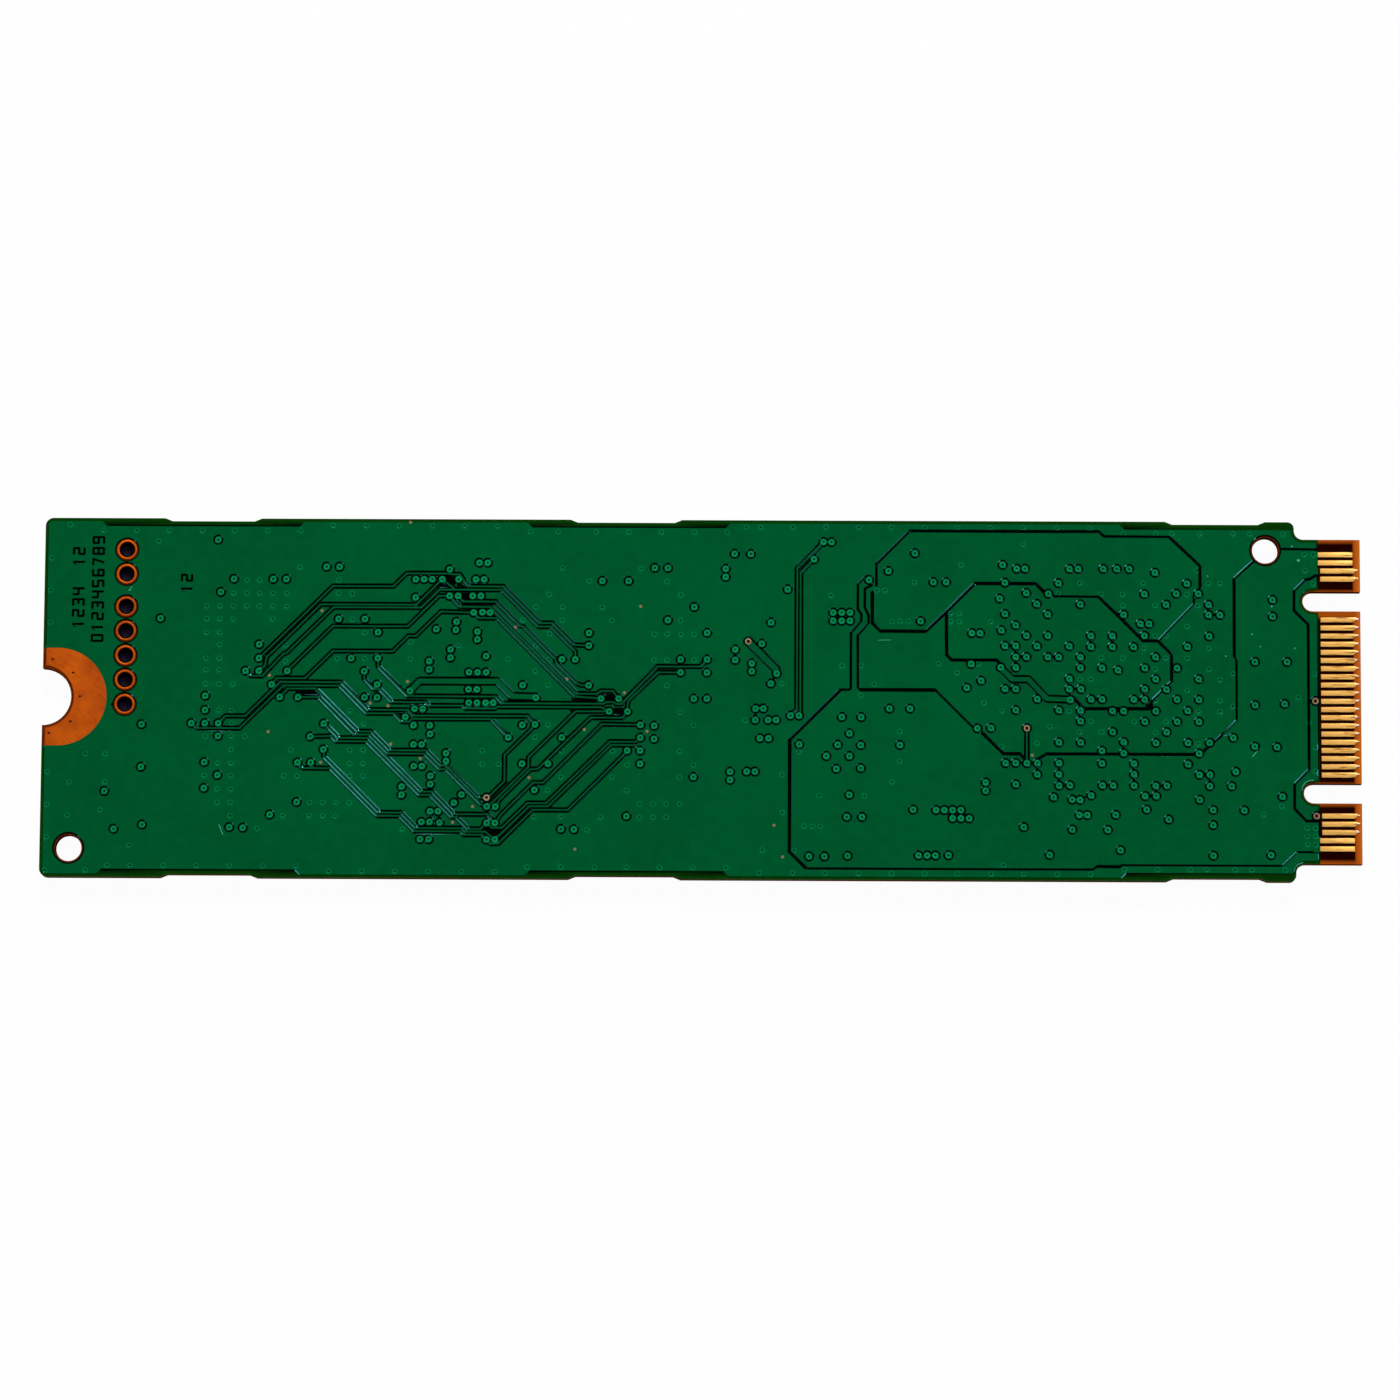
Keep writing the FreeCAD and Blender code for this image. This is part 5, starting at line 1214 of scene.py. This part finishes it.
def turned(profile, centres, sides, closed=False):
    """Each profile of radius and height turned once round every centre, as one table of points.

    The grid runs along the profile and round the turn; neighbours on it are joined by quads. A closed
    profile also joins its last row to its first.
    """
    profile = np.array(profile, float)
    turn = np.arange(sides) * math.tau / sides
    ring = np.stack([np.cos(turn), np.sin(turn)], 1)
    flat = profile[:, 0][:, None, None] * ring[None, :, :]
    height = np.broadcast_to(profile[:, 1][:, None, None], (len(profile), sides, 1))
    shape = np.concatenate([flat, height], 2).reshape(-1, 3)
    centres = np.column_stack([np.array(centres, float), np.zeros(len(centres))])
    points = (centres[:, None, :] + shape[None, :, :]).reshape(-1, 3)
    rows = np.arange(len(profile) - (0 if closed else 1))
    row = rows[:, None] * sides
    under = ((rows + 1) % len(profile))[:, None] * sides
    here = np.arange(sides)[None, :]
    after = (here + 1) % sides
    quads = np.stack([row + here, row + after, under + after, under + here], 2).reshape(-1, 4)
    first = np.arange(len(centres))[:, None, None] * len(shape)
    return points, (first + quads[None, :, :]).reshape(-1, 4)


# Operators, one for each piece or group of like pieces

class DRIVE_OT_rear_mask(bpy.types.Operator):
    """Lacquer the bare rear face over its etched copper"""

    bl_idname = "drive.rear_mask"
    bl_label = "Rear solder mask"

    def execute(self, context):
        plated = [(PLATED_X, y) for y in PLATED_Y]
        pour = [(x, y) for y, places in POUR_VIAS for x in places]
        tail = (0.12, ((PLATED_X - 0.5, PLATED_Y[-1]), (PLATED_X - 0.72, PLATED_Y[-1])))
        tip = (0.075, ((MASK_EDGE, -TONGUE_HALF), (MASK_EDGE, TONGUE_HALF)))
        grounds = [(GROUND_HALF, ((GROUND_ROOT, y), (MASK_EDGE + 0.3, y))) for y in GROUND_CONTACTS]
        etching = Etching(
            context.scene.drive_look.etch_depth / MM, VIAS, BARE_VIAS, pour, COPPER_DOTS, TRACKS, grounds,
            POUR_SPLITS + (tip, tail), list(DARK_PATCHES),
            [(plated, PLATED_MOAT), (TOOLING_HOLES, TOOLING_MOAT)], edge_lines(), figure_lines(), SCUFFS_AND_GLINTS)
        loops = [mask_outline()]
        loops.extend(rings(TOOLING_HOLES, TOOLING_OPENING, 48))
        loops.extend(rings(plated, RING_OPENING, 40))
        piece = relief_piece("rear_mask_lacquer", loops, etching, REAR_FACE, REAR_CORE, LACQUER)
        settle(piece, "rear_solder_mask")
        return {"FINISHED"}


class DRIVE_OT_lands(bpy.types.Operator):
    """Plate the bare copper lands round the screw notch"""

    bl_idname = "drive.lands"
    bl_label = "Screw lands"

    def execute(self, context):
        cut = math.degrees(math.acos(LAND_BACK / LAND_INNER))
        loop = np.concatenate([
            arc((LAND_X, 0.0), LAND_RADIUS, 90, -90, 61),
            [(-HALF_LENGTH + LAND_BACK, -LAND_RADIUS)],
            arc((-HALF_LENGTH, 0.0), LAND_INNER, -cut, cut, 41),
            [(-HALF_LENGTH + LAND_BACK, LAND_RADIUS)]])
        pits = Pitting(LAND_DOTS, 0.1, 0.02)
        rear = relief_piece("rear_screw_land", [loop], pits, REAR_FACE - LAND_SINK, REAR_CORE, COPPER)
        settle(rear, "rear_screw_pad")
        front = relief_piece("front_screw_land", [loop], pits, FRONT_FACE + LAND_SINK, FRONT_CORE, COPPER)
        settle(front, "front_screw_pad")
        return {"FINISHED"}


class DRIVE_OT_plated_holes(bpy.types.Operator):
    """Turn the copper rings and barrels of the plated holes"""

    bl_idname = "drive.plated_holes"
    bl_label = "Plated holes"

    def execute(self, context):
        wall = PLATED_RADIUS + BARREL_WALL
        top = REAR_FACE - RING_SINK
        profile = (
            (PLATED_RADIUS, FRONT_CORE), (PLATED_RADIUS, top - 0.02), (PLATED_RADIUS + 0.006, top - 0.006),
            (PLATED_RADIUS + 0.02, top), (RING_RADIUS - 0.02, top), (RING_RADIUS - 0.006, top - 0.006),
            (RING_RADIUS, top - 0.02), (RING_RADIUS, REAR_CORE), (wall, REAR_CORE), (wall, FRONT_CORE))
        centres = [(PLATED_X, y) for y in PLATED_Y]
        points, faces = turned(profile, centres, 48, closed=True)
        piece = mesh_piece("plated_hole_barrels", points, faces[:, ::-1], COPPER)
        settle(piece, "plated_holes")
        # A dark plug of resin closes each barrel near the underside
        floor = FRONT_CORE + PLUG_HEIGHT
        plug = ((0.004, FRONT_CORE), (wall - 0.02, FRONT_CORE), (wall - 0.02, floor + 0.03),
                (PLATED_RADIUS * 0.7, floor), (0.004, floor - 0.02))
        points, faces = turned(plug, centres, 24)
        plugs = mesh_piece("plated_hole_plugs", points, faces, "via_plug_resin")
        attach(plugs, "root")
        return {"FINISHED"}


class DRIVE_OT_contacts(bpy.types.Operator):
    """Plate the card-edge contacts on both faces"""

    bl_idname = "drive.contacts"
    bl_label = "Contacts"

    def execute(self, context):
        for face in ("rear", "front"):
            for group in ("key_m", "centre", "key_b"):
                node = f"{face}_contacts_{group}"
                rounded_copy(node, f"{face}_fingers_{group}", "hard_gold_plated", 0.012)
        return {"FINISHED"}


class DRIVE_OT_card(bpy.types.Operator):
    """Finish the laminate core and line its tooling holes"""

    bl_idname = "drive.card"
    bl_label = "Card"

    def execute(self, context):
        core = NODES["circuit_board"].data
        core.materials.clear()
        core.materials.append(bpy.data.materials[LAMINATE])
        # The drilled walls of the tooling holes are fuzzy with resin, so a thin lining narrows them
        profile = ((TOOLING_WALL, FRONT_CORE + 0.03), (TOOLING_WALL, REAR_CORE - 0.03),
                   (TOOLING_WALL + 0.02, REAR_CORE - 0.004), (TOOLING_RADIUS - 0.001, REAR_CORE - 0.004),
                   (TOOLING_RADIUS - 0.001, FRONT_CORE + 0.004), (TOOLING_WALL + 0.02, FRONT_CORE + 0.004))
        points, faces = turned(profile, TOOLING_HOLES, 48, closed=True)
        lining = mesh_piece("tooling_hole_lining", points, faces[:, ::-1], LAMINATE, smooth=False)
        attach(lining, "root")
        return {"FINISHED"}


class DRIVE_OT_front_mask(bpy.types.Operator):
    """Lacquer the component side"""

    bl_idname = "drive.front_mask"
    bl_label = "Front solder mask"

    def execute(self, context):
        pour = [(-38.0 + 2.0 * place, side * 10.4) for place in range(37) for side in (1, -1)]
        steps = 1.6 * np.arange(11)
        vias = [(-1.9, -8.0 + step) for step in steps]
        tracks = [(TRACK, ((-1.9, -8.0 + step), (-1.2, -7.3 + step), (0.6, -7.3 + step)))
                  for step in steps[:-1]]
        etching = Etching(
            context.scene.drive_look.etch_depth / MM, vias, (), pour, (), tracks, (), (), [],
            [(TOOLING_HOLES, TOOLING_MOAT)], edge_lines(), [], [(0.03, ((-20.0, 9.6), (-19.4, 9.7)))])
        loops = [mask_outline()]
        loops.extend(rings(TOOLING_HOLES, TOOLING_OPENING, 48))
        piece = relief_piece("front_mask_lacquer", loops, etching, FRONT_FACE, FRONT_CORE, LACQUER)
        settle(piece, "front_solder_mask")
        return {"FINISHED"}


class DRIVE_OT_chips(bpy.types.Operator):
    """Mould the chips and finish what seats them"""

    bl_idname = "drive.chips"
    bl_label = "Chips"

    def execute(self, context):
        edge = context.scene.drive_look.chip_edge / MM
        for chip in ("flash_chip_1", "flash_chip_2", "memory_chip", "controller_chip"):
            rounded_copy(f"{chip}_body", f"{chip}_mould", MOULD, edge)
            rounded_copy(f"{chip}_base", f"{chip}_substrate", "package_base_sawn", 0.02)
            rounded_copy(f"{chip}_balls", f"{chip}_solder", SOLDER, 0.06)
        for chip in ("power_chip", "boot_chip"):
            rounded_copy(f"{chip}_body", f"{chip}_mould", MOULD, edge)
            rounded_copy(f"{chip}_lands", f"{chip}_solder", SOLDER, 0.012)
        return {"FINISHED"}


class DRIVE_OT_small_parts(bpy.types.Operator):
    """Finish the crystal, inductors, capacitors and resistors"""

    bl_idname = "drive.small_parts"
    bl_label = "Small parts"

    def execute(self, context):
        rounded_copy("crystal_base", "crystal_can_base", "crystal_ceramic_fired", 0.05)
        rounded_copy("crystal_lid", "crystal_can_lid", "crystal_lid_plated", 0.06)
        rounded_copy("crystal_lands", "crystal_solder", SOLDER, 0.012)
        rounded_copy("inductor_bodies", "inductor_cores", "ferrite_pressed", 0.08)
        rounded_copy("inductor_terminals", "inductor_solder", SOLDER, 0.012)
        for kind in ("large_capacitor", "small_capacitor"):
            rounded_copy(f"{kind}_bodies", f"{kind}_blocks", "capacitor_ceramic_fired",
                         0.03)
            rounded_copy(f"{kind}_ends", f"{kind}_caps", SOLDER, 0.05)
        rounded_copy("resistor_bodies", "resistor_chips", "resistor_glaze", 0.02)
        rounded_copy("resistor_ends", "resistor_caps", SOLDER, 0.03)
        return {"FINISHED"}


class DRIVE_OT_materials(bpy.types.Operator):
    """Make the drive's materials"""

    bl_idname = "drive.materials"
    bl_label = "Materials"

    def execute(self, context):
        look = context.scene.drive_look
        for material in (mask_material, copper_material, gold_material, laminate_material):
            material(look)
        # Moulding compound: charcoal, with pale filler grains 0.05 mm wide
        speckled_material(MOULD, look.mould_colour, srgb("#2A2A2C"), 0.05, 0.55)
        # Resin plug in a plated hole: black, with violet flecks painted as a sheen
        speckled_material("via_plug_resin", srgb("#060209"), srgb("#0D081A"), 0.12, 0.3, 0.0, 0.03)
        # Sawn package base: dull green resin with pale saw lines
        speckled_material("package_base_sawn", srgb("#20482A"), srgb("#3A6A3E"), 0.08, 0.5)
        # Reflowed tin: bright, lightly frosted in grains 0.06 mm wide
        speckled_material(SOLDER, srgb("#C9C9C6"), srgb("#9D9D9A"), 0.06, 0.3, 1.0)
        # Fired barium titanate: tan, even, with darker grains
        speckled_material("capacitor_ceramic_fired", srgb("#B08A62"), srgb("#94704C"), 0.05, 0.45)
        # Black resistor glaze: glassy, with faint streaks
        speckled_material("resistor_glaze", srgb("#141414"), srgb("#202022"), 0.07, 0.25)
        # Pressed ferrite: dark grey with a gritty skin
        speckled_material("ferrite_pressed", srgb("#4A4A4C"), srgb("#3A3A3C"), 0.06, 0.6)
        # Fired alumina package: dark brown and matt
        speckled_material("crystal_ceramic_fired", srgb("#2E2A26"), srgb("#3A352F"), 0.06, 0.5)
        # Plated lid: pale satin metal
        speckled_material("crystal_lid_plated", srgb("#C8C2B2"), srgb("#B2AC9C"), 0.05, 0.28, 1.0)
        return {"FINISHED"}


class DRIVE_OT_stage(bpy.types.Operator):
    """Set the floor, the soft lights and the camera"""

    bl_idname = "drive.stage"
    bl_label = "Stage"

    def execute(self, context):
        stage = context.scene.drive_stage
        scene = context.scene
        scene.view_settings.view_transform = "Standard"

        # Matt white paper: even, with faint fibres, and lit up to plain white where the eye sees it
        tree, place = begin(PAPER)
        fibre = add(tree, "TexNoise", {"Vector": place, "Scale": per_mm(0.5), "Detail": 2.0})
        tone = add(tree, "Mix", {0: fibre, 6: stage.floor_colour, 7: srgb("#EFEFEF")})
        paper = add(tree, "BsdfDiffuse", {"Color": tone})
        glow = add(tree, "Emission", {"Color": srgb("#FFFFFF"), "Strength": 1.0})
        ray = add(tree, "LightPath").node.outputs
        seen = add(tree, "Math", (ray["Is Camera Ray"], ray["Is Glossy Ray"]), operation="MAXIMUM")
        seen = add(tree, "Math", (seen, ray["Is Transmission Ray"]), operation="MAXIMUM")
        share = add(tree, "Math", (seen, 0.97), operation="MULTIPLY")
        end(tree, add(tree, "MixShader", (share, paper, glow)))
        corners = np.array([(-1, -1, 0), (1, -1, 0), (1, 1, 0), (-1, 1, 0)]) * FLOOR_REACH
        corners = corners + np.array([0.0, 0.0, -FLOOR_DROP])
        floor = mesh_piece("floor", corners, np.array([(0, 1, 2, 3)]), PAPER, smooth=False)

        world = bpy.data.worlds.new("room")
        world.use_nodes = True
        tree = world.node_tree
        tree.nodes.clear()
        room = add(tree, "Background", {"Color": srgb("#FFFFFF"), "Strength": stage.room_level})
        end(tree, room, "OutputWorld")
        scene.world = world

        for name, place, aim, size, spread, power in (
            ("left_softbox", (-0.34, -0.212, 0.31), (-0.031, 0.0, 0.0), 0.09, 8, stage.left_power),
            ("right_softbox", (0.34, -0.212, 0.31), (0.031, 0.0, 0.0), 0.09, 8, stage.right_power),
            ("overhead_softbox", (0.0, 0.30, 0.42), (0.0, 0.0, 0.0), 0.15, 180, stage.overhead_power),
        ):
            lamp = bpy.data.lights.new(name, "AREA")
            lamp.size = size
            lamp.spread = math.radians(spread)
            lamp.energy = power
            light = new_object(name, lamp)
            light.location = place
            light.rotation_euler = (Vector(aim) - Vector(place)).to_track_quat("-Z", "Y").to_euler()

        turns = Matrix.Identity(3)
        for axis, angle in CAMERA_TURNS:
            turns = turns @ Matrix.Rotation(math.radians(angle), 3, axis)
        turned_back = turns.transposed()
        place = turned_back @ Vector(CAMERA_PLACE) + Vector((0.0, 0.0, REAR_FACE))
        lens = bpy.data.cameras.new("camera")
        lens.sensor_width = SENSOR_WIDTH
        lens.lens = LENS_LENGTH
        lens.clip_start = 0.01
        camera = new_object("camera", lens)
        camera.matrix_world = Matrix.Translation(place * MM) @ turned_back.to_4x4()
        scene.camera = camera
        return {"FINISHED"}


STEPS = (
    DRIVE_OT_materials, DRIVE_OT_card, DRIVE_OT_rear_mask, DRIVE_OT_lands, DRIVE_OT_plated_holes,
    DRIVE_OT_contacts, DRIVE_OT_front_mask, DRIVE_OT_chips, DRIVE_OT_small_parts, DRIVE_OT_stage,
)


class DRIVE_PT_panel(bpy.types.Panel):
    """The drive's pieces and finishes"""

    bl_idname = "DRIVE_PT_panel"
    bl_label = "Gumstick drive"
    bl_space_type = "VIEW_3D"
    bl_region_type = "UI"
    bl_category = "Drive"

    def draw(self, context):
        column = self.layout.column()
        for group in (context.scene.drive_look, context.scene.drive_stage):
            for name in group.__annotations__:
                column.prop(group, name)
        for step in STEPS:
            column.operator(step.bl_idname)


CLASSES = (DriveLook, DriveStage) + STEPS + (DRIVE_PT_panel,)


def register():
    """Register the classes and give the scene their settings."""
    for item in CLASSES:
        bpy.utils.register_class(item)
    bpy.types.Scene.drive_look = bpy.props.PointerProperty(type=DriveLook)
    bpy.types.Scene.drive_stage = bpy.props.PointerProperty(type=DriveStage)


def unregister():
    """Take the settings and the classes away again."""
    del bpy.types.Scene.drive_stage
    del bpy.types.Scene.drive_look
    for item in reversed(CLASSES):
        bpy.utils.unregister_class(item)


def main():
    """Run every step in order."""
    register()
    bpy.ops.drive.materials()
    bpy.ops.drive.card()
    bpy.ops.drive.rear_mask()
    bpy.ops.drive.lands()
    bpy.ops.drive.plated_holes()
    bpy.ops.drive.contacts()
    bpy.ops.drive.front_mask()
    bpy.ops.drive.chips()
    bpy.ops.drive.small_parts()
    bpy.ops.drive.stage()


if __name__ == "__main__":
    main()
